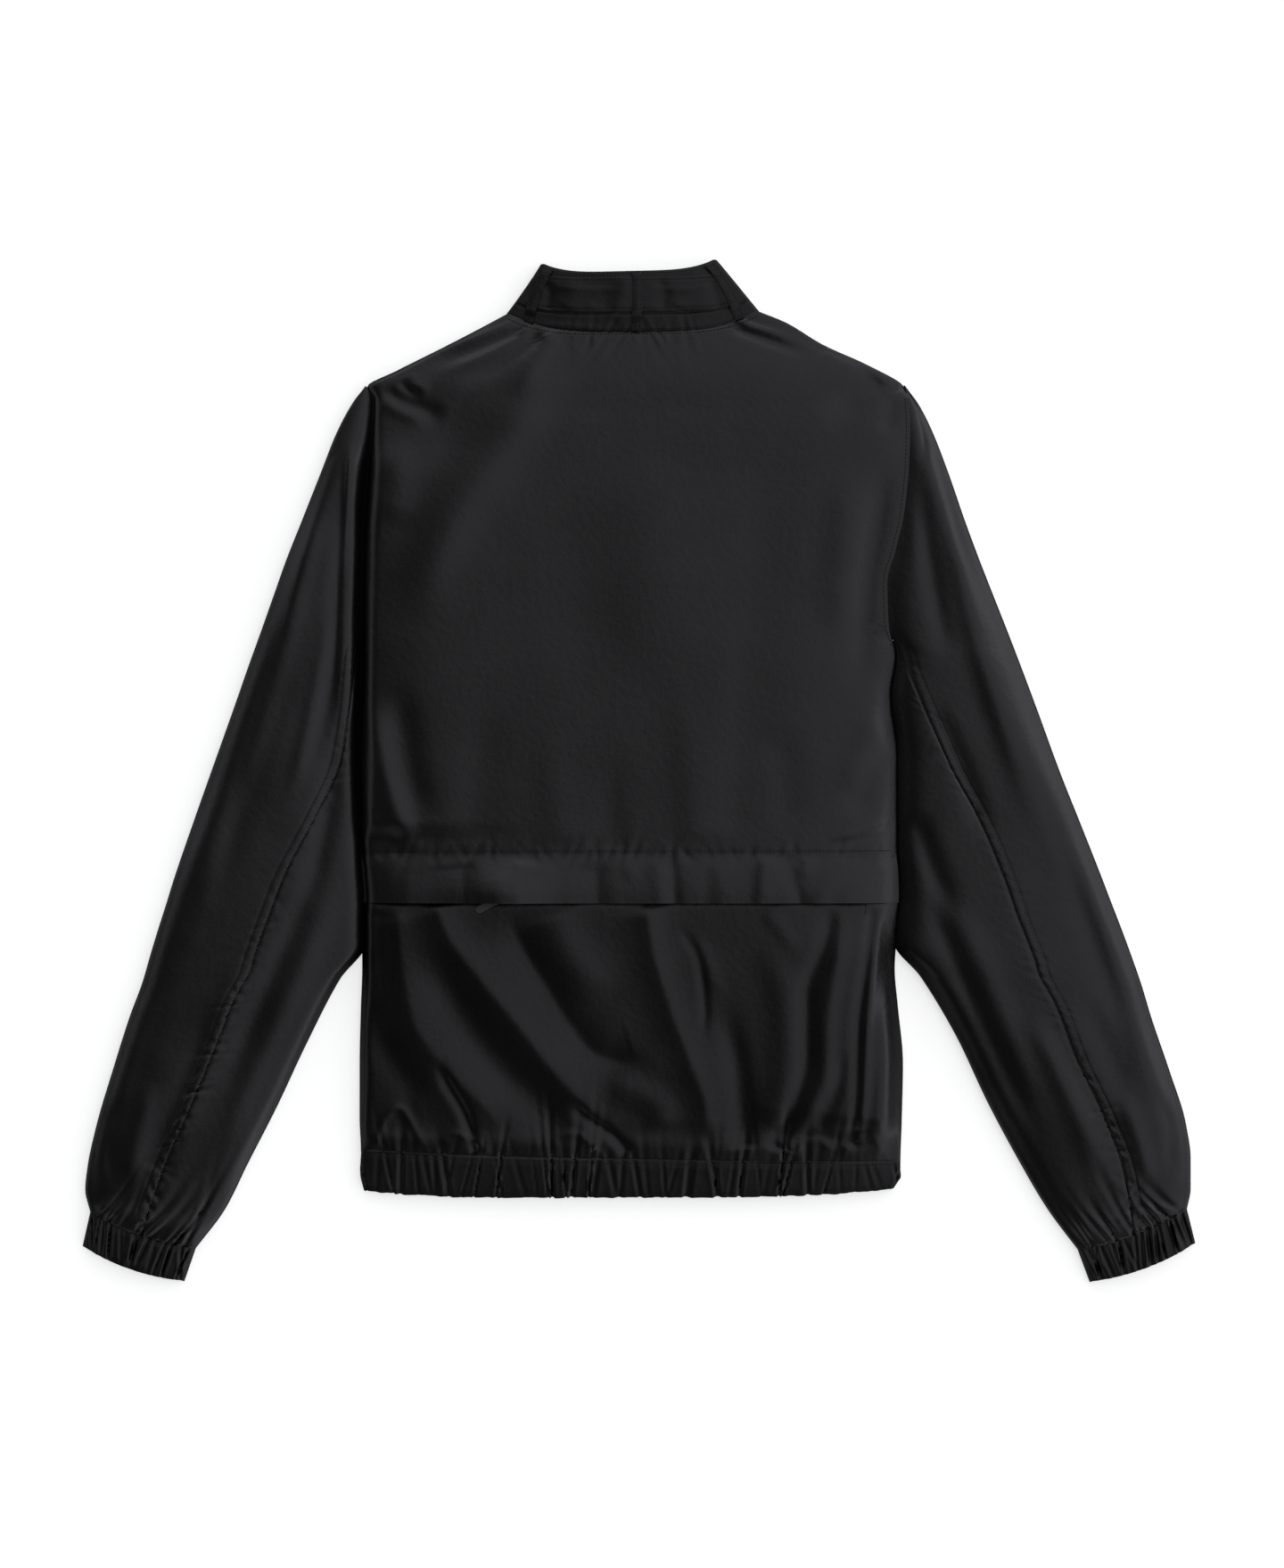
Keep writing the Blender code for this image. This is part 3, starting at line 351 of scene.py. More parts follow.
@dataclass(frozen=True)
class Sections:
    """A run of flattened tubes from edge a to edge b, one row of each array for each of them."""

    key: Array
    a: Array
    b: Array
    height_a: Array
    height_b: Array
    radius_a: Array
    radius_b: Array
    roll_a: Array
    roll_b: Array
    dome: Array
    top_bow: Array
    bottom_bow: Array
    bow_power: float
    roll_width_a: float = 6.0
    roll_width_b: float = 8.0
    dome_power: float = 2.0  # the higher, the flatter the middle of the upper side

    @property
    def width(self) -> Array:
        """The width of each tube."""
        return np.linalg.norm(self.b - self.a, axis=1)

    def run(self, u: Array) -> Array:
        """Returns how far along the upper side each value of u lies, in millimetres."""
        inner = self.width - self.radius_a - self.radius_b
        return self.radius_a[:, None] + u * inner[:, None]

    def points(self, u: Array, out: Array | float = 0.0, relief: Array | float = 0.0) -> Array:
        """Returns the points at u, which is 0 to 1 over the top, then goes round b, under and up a.

        Args:
            u: one row of values for each tube; the ring closes at 4, and -1 to 0 is also edge a.
            out: how far the points are moved out.
            relief: the height that creases add, which fades towards the edges.
        """
        u = np.where(u < 0, u + 4, u)
        width = self.width[:, None]
        along = ((self.b - self.a) / width)[:, None, :]
        inner = width - (self.radius_a + self.radius_b)[:, None]
        radius_a, radius_b = self.radius_a[:, None], self.radius_b[:, None]
        height_a, height_b = self.height_a[:, None], self.height_b[:, None]

        def place(f: Array, bow: Array) -> tuple[Array, Array]:
            """Places a share f of the way across each tube, bent by its bow."""
            run = radius_a + f * inner
            curve = 1 - np.abs(2 * f - 1) ** self.bow_power
            return run, self.a[:, None] + along * run[..., None] + bow[:, None] * curve[..., None]

        f_top = np.clip(np.where(u >= 4, u - 4, u), 0, 1)
        run, top = place(f_top, self.top_bow)
        rise_a = 1 - bump(run, self.roll_width_a)
        rise_b = 1 - bump(width - run, self.roll_width_b)
        lift = np.minimum(rise_a, rise_b)
        side_a = height_a + self.roll_a[:, None] * rise_a
        side_b = height_b + self.roll_b[:, None] * rise_b
        z_top = side_a + (side_b - side_a) * f_top
        dome = self.dome[:, None] * (1 - np.abs(2 * f_top - 1) ** self.dome_power)
        z_top = z_top + dome + lift * relief + out

        f_low = np.clip(3 - u, 0, 1)
        _, low = place(f_low, self.bottom_bow)
        z_low = front_rise(low[..., 0], low[..., 1]) - out

        angle_b = np.pi * (np.clip(u, 1, 2) - 1)
        reach_b = radius_b - (radius_b + out) * np.sin(angle_b)
        edge_b = self.b[:, None] - along * reach_b[..., None]
        z_b = height_b / 2 + (height_b / 2 + out) * np.cos(angle_b)
        angle_a = np.pi * (4 - np.clip(u, 3, 4))
        reach_a = radius_a - (radius_a + out) * np.sin(angle_a)
        edge_a = self.a[:, None] + along * reach_a[..., None]
        z_a = height_a / 2 + (height_a / 2 + out) * np.cos(angle_a)

        is_top = ((u <= 1) | (u >= 4))[..., None]
        is_b, is_low = (u < 2)[..., None], (u <= 3)[..., None]
        plan = np.where(is_top, top, np.where(is_b, edge_b, np.where(is_low, low, edge_a)))
        z = np.where(
            is_top[..., 0],
            z_top,
            np.where(is_b[..., 0], z_b, np.where(is_low[..., 0], z_low, z_a)),
        )
        return np.concatenate([plan, z[..., None]], axis=2)


class Profile(Enum):
    """How a crease is shaped across: rounded, or drawn up to a crisp line."""

    SOFT = 2.0
    CRISP = 1.35


@dataclass(frozen=True)
class Crease:
    """A ridge (height above 0) or a valley (below 0) along a path over the cloth.

    left and right are its half widths on each side of the path, seen walking along it, and fade is
    the share of its length over which each end dies away. flare is the width at the end of the path
    over that at its start.
    """

    path: tuple[tuple[float, float], ...]
    height: float
    left: float
    right: float
    fade: tuple[float, float] = (0.3, 0.3)
    flare: float = 1.0
    profile: Profile = Profile.SOFT

    REACH: ClassVar[float] = 2.6  # half widths beyond which a crease adds next to nothing
    STEPS: ClassVar[int] = 6  # short steps between two points of the path

    def centre_line(self) -> Array:
        """Draws the path as a smooth line of short steps.

        Returns:
            Its points, one to a row.
        """
        knots = np.array(self.path, float)
        keys = np.concatenate([[0], np.cumsum(np.linalg.norm(np.diff(knots, axis=0), axis=1))])
        return smooth_rows(keys, knots, np.linspace(0, keys[-1], self.STEPS * (len(knots) - 1) + 1))

    def at(self, x: Array, y: Array) -> Array:
        """Works out the height that this crease adds.

        Args:
            x: the places across.
            y: the places along.

        Returns:
            The height added at each place.
        """
        line = self.centre_line()
        reach = self.REACH * max(self.left, self.right) * max(1.0, self.flare)
        low, high = line.min(axis=0) - reach, line.max(axis=0) + reach
        near = (x > low[0]) & (x < high[0]) & (y > low[1]) & (y < high[1])
        added = np.zeros_like(x)
        if not near.any():
            return added
        place = np.stack([x[near], y[near]], axis=1)
        best = np.full(len(place), np.inf)
        side, along = np.zeros(len(place)), np.zeros(len(place))
        steps = np.diff(line, axis=0)
        lengths = np.linalg.norm(steps, axis=1)
        starts = np.concatenate([[0], np.cumsum(lengths)])
        for start, step, length, before in zip(line, steps, lengths, starts):
            offset = place - start
            share = np.clip(offset @ step / length**2, 0, 1)
            gap = np.linalg.norm(offset - share[:, None] * step, axis=1)
            closer = gap < best
            best = np.where(closer, gap, best)
            cross = step[0] * offset[:, 1] - step[1] * offset[:, 0]
            side = np.where(closer, np.sign(cross), side)
            along = np.where(closer, (before + share * length) / starts[-1], along)
        width = np.where(side > 0, self.left, self.right) * (1 + (self.flare - 1) * along)
        start_fade, end_fade = self.fade
        ends = np.ones(len(place))
        if start_fade:
            ends *= smooth(along / start_fade)
        if end_fade:
            ends *= smooth((1 - along) / end_fade)
        added[near] = self.height * ends * np.exp(-((best / width) ** self.profile.value))
        return added


def creased(creases: tuple[Crease, ...], x: Array, y: Array) -> Array:
    """Returns the height that a table of creases adds at each place."""
    return sum((crease.at(x, y) for crease in creases), np.zeros_like(x))


CRISP = Profile.CRISP

# The yoke and upper back: the long fold from the neck's left, shoulder creases and the side folds.
UPPER_CREASES = (
    # path height left right fade flare profile
    Crease(((-70, 340), (-86, 290), (-113, 246), (-143, 202), (-166, 150), (-176, 110)), 4.6, 19, 22),
    Crease(((-128, 300), (-150, 250), (-178, 200), (-190, 150)), -1.4, 22, 20),
    Crease(((-95, 352), (-128, 340), (-160, 327)), 1.8, 5, 4, (0.05, 0.5), 1.5),
    Crease(((-90, 348), (-130, 331), (-172, 316)), -2.2, 5, 5, (0.05, 0.4), 1.5),
    Crease(((-84, 346), (-120, 326), (-165, 308)), 2.2, 6, 5, (0.05, 0.5), 1.5),
    Crease(((-78, 344), (-110, 320), (-148, 303)), -2.2, 6, 6, (0.05, 0.5), 1.6),
    Crease(((-66, 343), (-82, 318), (-98, 290)), 2.0, 6, 7, (0.05, 0.5), 1.6),
    Crease(((-202, 303), (-190, 292), (-172, 284), (-150, 278)), -2.4, 6, 6, (0.2, 0.25), 1.3),
    Crease(((-204, 296), (-188, 284), (-165, 275)), 1.6, 6, 5, (0.3, 0.3)),
    Crease(((-187, 309), (-181, 300), (-168, 294)), -1.8, 4, 4, (0.2, 0.4)),
    Crease(((-183, 312), (-176, 303), (-162, 298)), 1.2, 4, 4, (0.2, 0.4)),
    Crease(((72, 349), (104, 338), (140, 327)), -2.0, 5, 4, (0.05, 0.5), 1.4),
    Crease(((78, 353), (106, 345), (135, 336)), 1.6, 4, 4, (0.05, 0.5), 1.3),
    Crease(((84, 355), (108, 349), (128, 343)), -1.4, 3, 3, (0.05, 0.5), 1.3),
    Crease(((192, 312), (168, 295), (140, 276)), -3.0, 9, 8, (0.15, 0.5), 1.6),
    Crease(((202, 300), (199, 280), (190, 262)), -2.2, 8, 8, (0.2, 0.4), 1.3),
    Crease(((205, 255), (192, 222), (184, 180), (178, 130), (176, 90), (174, 50)), -3.6, 13, 11),
    Crease(((170, 245), (164, 200), (160, 150), (158, 100)), 2.0, 18, 16),
    Crease(((190, 50), (178, 16), (160, -20)), 1.6, 13, 11),
    Crease(((194, 32), (182, -6), (166, -40)), -2.2, 12, 12, (0.3, 0.3)),
    Crease(((112, 40), (114, -5), (116, -50)), -1.0, 14, 14),
    Crease(((148, -55), (172, -48), (205, -37)), 1.6, 3, 4, (0.3, 0.2), 1.0, CRISP),
    Crease(((146, -58), (172, -53), (205, -43)), -1.0, 3, 3, (0.3, 0.2)),
    Crease(((-207, 60), (-203, 20), (-195, -15), (-182, -48), (-166, -64)), 2.4, 8, 9, (0.3, 0.2)),
    Crease(((-190, 75), (-184, 30), (-176, -15), (-164, -50)), -2.6, 12, 12, (0.3, 0.3)),
    Crease(((-116, 110), (-122, 20), (-128, -60)), -1.0, 20, 16, (0.6, 0.1)),
    Crease(((-70, 60), (-66, -10), (-58, -60)), 0.9, 18, 14, (0.6, 0.1)),
    Crease(((-16, 30), (-22, -20), (-20, -62)), -0.7, 10, 13, (0.6, 0.05)),
    Crease(((30, 90), (40, 10), (46, -60)), 1.0, 20, 14, (0.6, 0.1)),
    Crease(((92, 200), (86, 60), (76, -60)), -1.0, 26, 18, (0.5, 0.1)),
    Crease(((24, 270), (14, 150), (16, 40)), 1.0, 34, 30, (0.5, 0.5)),
    Crease(((104, 290), (96, 200), (108, 90)), -1.0, 28, 26, (0.5, 0.5)),
    Crease(((-26, 230), (-44, 120), (-40, 20)), -0.9, 28, 26, (0.5, 0.5)),
    Crease(((-196, 262), (-190, 225), (-196, 190)), 1.6, 14, 14),
    Crease(((-198, 280), (-204, 150), (-206, 20), (-206, -55)), 5.0, 70, 9, (0.15, 0.05)),
)

# The lower back: long folds from the flap down to the hem, leaning right on the left half.
LOWER_CREASES = (
    # path height left right fade flare profile
    Crease(((-214, -175), (-205, -205), (-188, -235), (-168, -262)), -1.6, 12, 12, (0.2, 0.2)),
    Crease(((-190, -100), (-186, -145), (-177, -195), (-156, -228), (-126, -258), (-98, -290)), 3.4,
           16, 18, (0.1, 0.2), 1.1, CRISP),
    Crease(((-160, -222), (-150, -245), (-136, -270), (-128, -298)), -2.3, 5, 5, (0.3, 0.02), 0.7),
    Crease(((-168, -130), (-152, -165), (-134, -198), (-106, -233), (-79, -258), (-55, -290)), -3.4,
           17, 17, (0.25, 0.15)),
    Crease(((-160, -100), (-150, -128), (-122, -166), (-94, -200), (-68, -234), (-42, -262),
            (-18, -286)), 3.8, 15, 17, (0.05, 0.2), 1.1, CRISP),
    Crease(((-58, -255), (-40, -272), (-22, -284), (-8, -298)), -2.3, 5, 6, (0.3, 0.02), 0.7),
    Crease(((-104, -104), (-92, -135), (-72, -168), (-52, -200), (-32, -222), (-6, -228), (10, -218)),
           -3.4, 13, 17, (0.2, 0.2), 1.0, CRISP),
    Crease(((-70, -110), (-58, -140), (-38, -165), (-20, -180)), 2.3, 16, 18, (0.1, 0.4)),
    Crease(((-30, -244), (-8, -250), (14, -262), (22, -284)), 1.9, 12, 12, (0.3, 0.2)),
    Crease(((6, -104), (10, -135), (26, -190), (42, -232), (52, -262), (54, -292)), 3.1, 12, 14,
           (0.05, 0.1), 1.0, CRISP),
    Crease(((30, -118), (48, -150), (52, -190), (50, -215)), -1.2, 3, 4, (0.3, 0.3)),
    Crease(((62, -176), (72, -205), (79, -245), (83, -296)), -2.4, 9, 10, (0.4, 0.02)),
    Crease(((40, -128), (52, -150), (66, -182)), 0.6, 7, 6, (0.3, 0.4)),
    Crease(((100, -108), (114, -128), (130, -150)), 0.6, 7, 6, (0.1, 0.5)),
    Crease(((92, -130), (112, -170), (115, -210), (112, -250), (100, -280)), 1.8, 14, 12, (0.3, 0.1)),
    Crease(((152, -104), (146, -135), (131, -175), (131, -225), (124, -256), (106, -298)), -2.6,
           7, 7, (0.1, 0.02)),
    Crease(((160, -104), (154, -150), (147, -195), (146, -232), (132, -266), (114, -298)), 2.0,
           7, 8, (0.2, 0.02)),
    Crease(((160, -215), (156, -245), (140, -282)), -1.2, 6, 6, (0.3, 0.1)),
    Crease(((184, -104), (178, -150), (172, -199), (171, -250), (167, -296)), -2.4, 5, 5, (0.05, 0.02)),
    Crease(((189, -104), (184, -150), (178, -199), (175, -255), (171, -294)), 1.6, 4, 4, (0.1, 0.02)),
    Crease(((194, -110), (191, -150), (187, -200), (181, -262), (176, -292)), -1.8, 7, 7, (0.1, 0.05)),
    Crease(((-202, -108), (-203, -140), (-206, -170)), -1.1, 8, 8, (0.1, 0.4)),
    Crease(((211, -100), (210, -200), (201, -296)), 9.5, 13, 82, (0.25, 0.12)),
    # Loops of slack cloth just above the hem band.
    Crease(((-207, -300), (-201, -276), (-189, -264), (-178, -276), (-168, -299)), 1.5, 3, 3,
           (0.1, 0.1), 1.0, CRISP),
    Crease(((-150, -282), (-132, -288), (-118, -300)), 1.4, 3, 3, (0.3, 0.1), 1.0, CRISP),
    Crease(((-66, -286), (-50, -284), (-38, -291), (-30, -303)), 1.4, 3, 3, (0.3, 0.1), 1.0, CRISP),
    Crease(((118, -302), (126, -292), (140, -289), (152, -298)), 1.3, 3, 3, (0.2, 0.2), 1.0, CRISP),
    Crease(((160, -303), (168, -288), (182, -286), (192, -300)), 1.6, 3, 3, (0.2, 0.1), 1.0, CRISP),
)

# Both sleeves: long soft folds down from the armhole, with short ones where the elbow bends.
RIGHT_SLEEVE_CREASES = (
    # path height left right fade flare profile
    Crease(((228, 265), (240, 215), (252, 160), (268, 90), (290, 20), (312, -50)), 2.4, 10, 9),
    Crease(((214, 250), (222, 200), (232, 140), (244, 80)), -2.2, 8, 8),
    Crease(((219, 285), (224, 262), (222, 235)), -2.4, 5, 5, (0.1, 0.5)),
    Crease(((228, 60), (246, 20), (262, -20), (278, -60)), -2.0, 8, 8),
    Crease(((300, 30), (326, -40), (350, -110), (376, -180), (396, -240)), -2.0, 12, 11),
    Crease(((262, 130), (286, 60), (312, -10), (338, -80), (362, -150)), 1.8, 12, 12),
    Crease(((330, -20), (352, -80), (374, -150), (398, -230), (412, -290)), 1.8, 11, 11),
    Crease(((214, -30), (232, -80), (250, -120)), -2.5, 9, 9, (0.2, 0.4)),
    Crease(((236, -90), (262, -140), (288, -200), (318, -270)), 2.2, 12, 12),
    Crease(((218, -75), (236, -120), (262, -180), (290, -240), (322, -310)), -1.8, 8, 8),
    Crease(((300, -180), (330, -240), (352, -290), (366, -330)), 2.0, 10, 9),
    Crease(((316, -180), (346, -240), (372, -290), (388, -330)), -1.8, 9, 9),
    Crease(((378, -250), (392, -290), (402, -328)), 1.7, 7, 7),
    Crease(((345, -170), (366, -216), (384, -262)), -1.2, 10, 10),
    Crease(((408, -250), (418, -285), (418, -320)), -1.7, 7, 6),
)
LEFT_SLEEVE_CREASES = (
    # path height left right fade flare profile
    Crease(((-238, 262), (-252, 210), (-266, 150), (-282, 80), (-302, 10), (-320, -60)), 2.4, 9, 8),
    Crease(((-226, 262), (-228, 210), (-231, 150), (-233, 80), (-236, 20)), 2.8, 14, 4, (0.1, 0.4)),
    Crease(((-222, 230), (-230, 170), (-238, 110), (-250, 40), (-262, -10)), -2.7, 8, 8),
    Crease(((-236, 150), (-244, 100), (-256, 40), (-276, -30)), 2.2, 7, 7),
    Crease(((-232, 40), (-240, 0), (-250, -60), (-262, -110)), -2.5, 9, 9),
    Crease(((-268, 130), (-290, 50), (-314, -30), (-340, -110)), -2.1, 11, 11),
    Crease(((-300, 40), (-326, -40), (-350, -110), (-378, -190), (-398, -250)), 2.1, 12, 12),
    Crease(((-322, -20), (-346, -90), (-372, -170), (-398, -250), (-410, -300)), -1.8, 11, 11),
    Crease(((-232, -80), (-254, -130), (-284, -200), (-316, -270), (-334, -320)), 2.1, 10, 10),
    Crease(((-246, -60), (-270, -120), (-300, -190), (-330, -260)), -2.1, 9, 9),
    Crease(((-300, -130), (-326, -190), (-352, -260), (-370, -320)), 2.0, 10, 10),
    Crease(((-330, -180), (-352, -240), (-374, -290), (-386, -330)), -1.8, 9, 9),
    Crease(((-380, -240), (-394, -290), (-400, -330)), 1.8, 8, 8),
    Crease(((-408, -250), (-416, -290), (-414, -325)), -1.5, 7, 6),
)

# The fronts lie flat on the surface below but for these low, soft folds.
FRONT_CREASES = (
    # path height left right fade flare profile
    Crease(((-150, 220), (-120, 120), (-110, 20)), 2.4, 16, 20),
    Crease(((120, 240), (96, 120), (88, 10)), 2.2, 18, 16),
    Crease(((-60, 180), (-48, 60), (-54, -60)), 1.8, 14, 14),
    Crease(((50, 190), (42, 60), (50, -80)), 1.8, 14, 14),
    Crease(((-180, -60), (-130, -150), (-90, -260)), 2.8, 18, 16),
    Crease(((160, -40), (120, -150), (90, -270)), 2.8, 16, 18),
    Crease(((-90, -110), (-50, -200), (-36, -290)), 2.2, 13, 15),
    Crease(((60, -120), (44, -210), (30, -292)), 2.2, 15, 13),
)


@dataclass(frozen=True)
class Gathers:
    """The short folds that elastic or a puckered seam draws out of the cloth beside it.

    Each one is a narrow trough that crosses the seam at its own place and lean, and widens and dies
    away as it leaves the seam.
    """

    start: float
    end: float
    count: int
    depth: float
    width: float
    reach: float
    seed: int
    lean: float = 0.35
    lift: float = 0.5  # how high the cloth rises between the troughs, as a share of depth

    BESIDE: ClassVar[float] = 1.6  # widths from a trough's middle to the rise on each side of it
    WIDENING: ClassVar[float] = 0.9  # how much wider a trough is at its reach

    def troughs(self) -> list[tuple[float, float, float, float, float]]:
        """Draws the troughs by lot, the same ones each time.

        Returns:
            Each trough's middle, depth, reach, width and lean.
        """
        chance = np.random.default_rng(self.seed)
        pitch = (self.end - self.start) / self.count
        return [
            (
                self.start + (i + 0.5 + chance.uniform(-0.42, 0.42)) * pitch,
                self.depth * chance.uniform(0.3, 1.0) ** 1.6,
                self.reach * chance.uniform(0.35, 1.25),
                self.width * chance.uniform(0.55, 1.6),
                self.lean * chance.uniform(-1, 1),
            )
            for i in range(self.count)
        ]

    def fold(self, offset: Array, width: Array | float) -> Array:
        """Works out the section of one fold of depth 1: a trough with a rise on each side.

        Args:
            offset: the distance from the trough's middle.
            width: the trough's half width.

        Returns:
            The height added at each place.
        """
        beside = self.BESIDE * width
        rise = bump(offset - beside, width) + bump(offset + beside, width)
        return self.lift * rise - bump(offset, width)

    def at(self, s: Array, away: Array) -> Array:
        """Works out the height of the folds beside the seam.

        Args:
            s: the places along the seam.
            away: how far from it each place is.

        Returns:
            The height added at each place.
        """
        added = np.zeros(np.broadcast(s, away).shape)
        distance = np.abs(away)
        for middle, depth, reach, width, lean in self.troughs():
            wide = width * (1 + self.WIDENING * distance / reach)
            offset = s - middle - lean * away
            fade = np.exp(-((distance / reach) ** 1.5))
            added += depth * fade * self.fold(offset, wide)
        return added

    def ribs(self, s: Array, away: Array) -> Array:
        """Works out the height of the same folds where elastic holds them and they don't die away.

        Args:
            s: the places along the seam.
            away: how far from it each place is.

        Returns:
            The height added at each place.
        """
        added = np.zeros(np.broadcast(s, away).shape)
        for middle, depth, _, width, lean in self.troughs():
            offset = s - middle - lean * away
            added += depth * self.fold(offset, width)
        return added


HEM_GATHERS = Gathers(-222, 210, 46, 2.2, 1.35, 26, seed=11, lean=0.3, lift=0.3)
HEM_FRONT_GATHERS = Gathers(-222, 210, 30, 1.2, 2.6, 24, seed=12)
FLAP_GATHERS = Gathers(-222, 208, 44, 0.75, 1.8, 10, seed=13, lean=0.8)
NECK_GATHERS = Gathers(-62, 60, 22, 0.9, 1.4, 15, seed=14, lean=0.7)


@dataclass(frozen=True)
class Finish:
    """A procedural surface: its colour, gloss and the fine texture of its weave or grain."""

    name: str
    colour: tuple[float, float, float]
    roughness: float
    specular: float = 0.5
    metallic: float = 0.0
    edge_tint: float = 1.0  # how far a metallic surface still shines where it turns away from view
    mottle: float = 0.1  # how far the colour and the gloss vary from place to place
    grain_size: float = 0.5  # millimetres
    grain_height: float = 0.02  # millimetres
    crinkle_height: float = 0.0  # millimetres

    def material(self) -> bpy.types.Material:
        """Makes this finish as a material, once.

        Returns:
            The material.
        """
        made = bpy.data.materials.get(self.name)
        if made is not None:
            return made
        made = bpy.data.materials.new(self.name)
        made.use_nodes = True
        nodes, links = made.node_tree.nodes, made.node_tree.links
        shader = nodes["Principled BSDF"]
        shader.inputs["Metallic"].default_value = self.metallic
        shader.inputs["Specular IOR Level"].default_value = self.specular
        shader.inputs["Specular Tint"].default_value = (*(self.edge_tint,) * 3, 1)
        place = nodes.new("ShaderNodeTexCoord").outputs["Object"]

        def noise(size: float, detail: float) -> bpy.types.NodeSocket:
            """Adds a noise pattern of a size in millimetres."""
            node = nodes.new("ShaderNodeTexNoise")
            node.inputs["Scale"].default_value = 1 / (size * MM)
            node.inputs["Detail"].default_value = detail
            links.new(place, node.inputs["Vector"])
            return node.outputs["Fac"]

        patches = noise(38.0, 3.0)
        tint = nodes.new("ShaderNodeMix")
        tint.data_type = "RGBA"
        links.new(patches, tint.inputs["Factor"])
        for socket, share in (("A", 1 - self.mottle), ("B", 1 + self.mottle)):
            chosen = next(i for i in tint.inputs if i.name == socket and i.type == "RGBA")
            chosen.default_value = (*(c * share for c in self.colour), 1)
        colour = next(o for o in tint.outputs if o.type == "RGBA")
        links.new(colour, shader.inputs["Base Color"])
        gloss = nodes.new("ShaderNodeMapRange")
        gloss.inputs["To Min"].default_value = self.roughness * (1 - self.mottle)
        gloss.inputs["To Max"].default_value = self.roughness * (1 + self.mottle)
        links.new(patches, gloss.inputs["Value"])
        links.new(gloss.outputs["Result"], shader.inputs["Roughness"])

        grain = nodes.new("ShaderNodeBump")
        grain.inputs["Distance"].default_value = self.grain_height * MM
        links.new(noise(self.grain_size, 1.0), grain.inputs["Height"])
        if self.crinkle_height:
            crinkle = nodes.new("ShaderNodeBump")
            crinkle.inputs["Distance"].default_value = self.crinkle_height * MM
            links.new(noise(5.0, 2.0), crinkle.inputs["Height"])
            links.new(crinkle.outputs["Normal"], grain.inputs["Normal"])
        links.new(grain.outputs["Normal"], shader.inputs["Normal"])
        return made


class Finishes:
    """Every surface of the jacket."""

    NYLON = Finish("nylon_shell", (0.0430, 0.0430, 0.0449), 0.38, metallic=1.0, edge_tint=0.15,
                   mottle=0.09, grain_height=0.012, crinkle_height=0.22)
    # A darker copy of the shell nylon for the lower back: painted shade, so the back is drawn darker
    # below the pocket than above it.
    LOWER_NYLON_PAINTED_SHADE = replace(NYLON, name="lower_nylon_painted_shade", colour=(0.0380, 0.0380, 0.0397), roughness=0.35)
    # A still darker copy of the shell nylon for the collar, strap, loops, hem band and cuffs: painted
    # shade on these doubled pieces.
    DOUBLED_NYLON_PAINTED_SHADE = replace(NYLON, name="doubled_nylon_painted_shade", colour=(0.0312, 0.0312, 0.0326),
                            roughness=0.41)
    THREAD = Finish("thread", (0.004, 0.004, 0.0045), 0.6, 0.25, grain_size=0.3)
    TAPE = Finish("zip_tape", (0.008, 0.008, 0.009), 0.75, 0.3, grain_height=0.06)
    CHAIN = Finish("zip_chain", (0.010, 0.010, 0.0105), 0.32, 0.5)
    METAL = Finish("zip_metal", (0.030, 0.030, 0.034), 0.24, 0.5, metallic=0.9, mottle=0.04)


class Held(Enum):
    """How a sheet of cloth lies in the finished garment."""

    LAID = "laid"
    FOLDED = "folded"
    GATHERED = "gathered"


def sheet_mesh(name: str, grid: Array, closed: bool = False, flip: bool = False) -> bpy.types.Object:
    """Makes an object from rows of points.

    Args:
        name: the object's name.
        grid: rows by columns by 3, in millimetres.
        closed: joins the last point of each row to its first.
        flip: turns every face round.

    Returns:
        The object, linked to the scene.
    """
    rows, columns = grid.shape[:2]
    low = np.arange(rows - 1)[:, None] * columns
    left = np.arange(columns if closed else columns - 1)[None]
    right = (left + 1) % columns
    corners = np.stack([low + left, low + right, low + columns + right, low + columns + left], -1)
    corners = corners.reshape(-1, 4)
    if flip:
        corners = corners[:, ::-1]
    mesh = bpy.data.meshes.new(name)
    mesh.from_pydata((grid.reshape(-1, 3) * MM).tolist(), [], corners.tolist())
    mesh.shade_smooth()
    obj = bpy.data.objects.new(name, mesh)
    bpy.context.scene.collection.objects.link(obj)
    return obj


@dataclass(frozen=True)
class ClothPiece:
    """A piece of cloth: the CAD node that it stands for, and the flat size in metres of its cut."""

    node: str
    wall: float
    flat: tuple[float, float]
    area: float | None = None
    held: Held = Held.LAID
    rests_on: tuple[str, ...] = ()
    finish: Finish = Finishes.NYLON
    slot: str = "shell"

    def sew(self, grid: Array, closed: bool = False, flip: bool = False) -> bpy.types.Object:
        """Makes the piece from its outer face and puts it in its node's place.

        Args:
            grid: the outer face, rows by columns by 3, in millimetres.
            closed: joins the last point of each row to its first.
            flip: turns every face round.

        Returns:
            The finished object.
        """
        piece = sheet_mesh(f"{self.node}_cloth", grid, closed, flip)
        piece.data.materials.append(self.finish.material())
        solidify = piece.modifiers.new("Wall", "SOLIDIFY")
        solidify.thickness = self.wall * MM
        solidify.offset = -1
        walled = piece.evaluated_get(bpy.context.evaluated_depsgraph_get())
        piece.data = bpy.data.meshes.new_from_object(walled)
        piece.modifiers.clear()
        piece.data.set_sharp_from_angle(angle=SHARP_ANGLE)
        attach(piece, "jacket")
        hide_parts(self.node)
        across = np.linalg.norm(np.diff(grid, axis=1), axis=2).sum(axis=1).max()
        along = np.linalg.norm(np.diff(grid, axis=0), axis=2).sum(axis=0).max()
        area = sum(face.area for face in piece.data.polygons) / 2
        LOG.info("%s: %d faces, at most %.0f x %.0f mm, %.4f square metres",
                 piece.name, len(piece.data.polygons), across, along, area)
        return piece


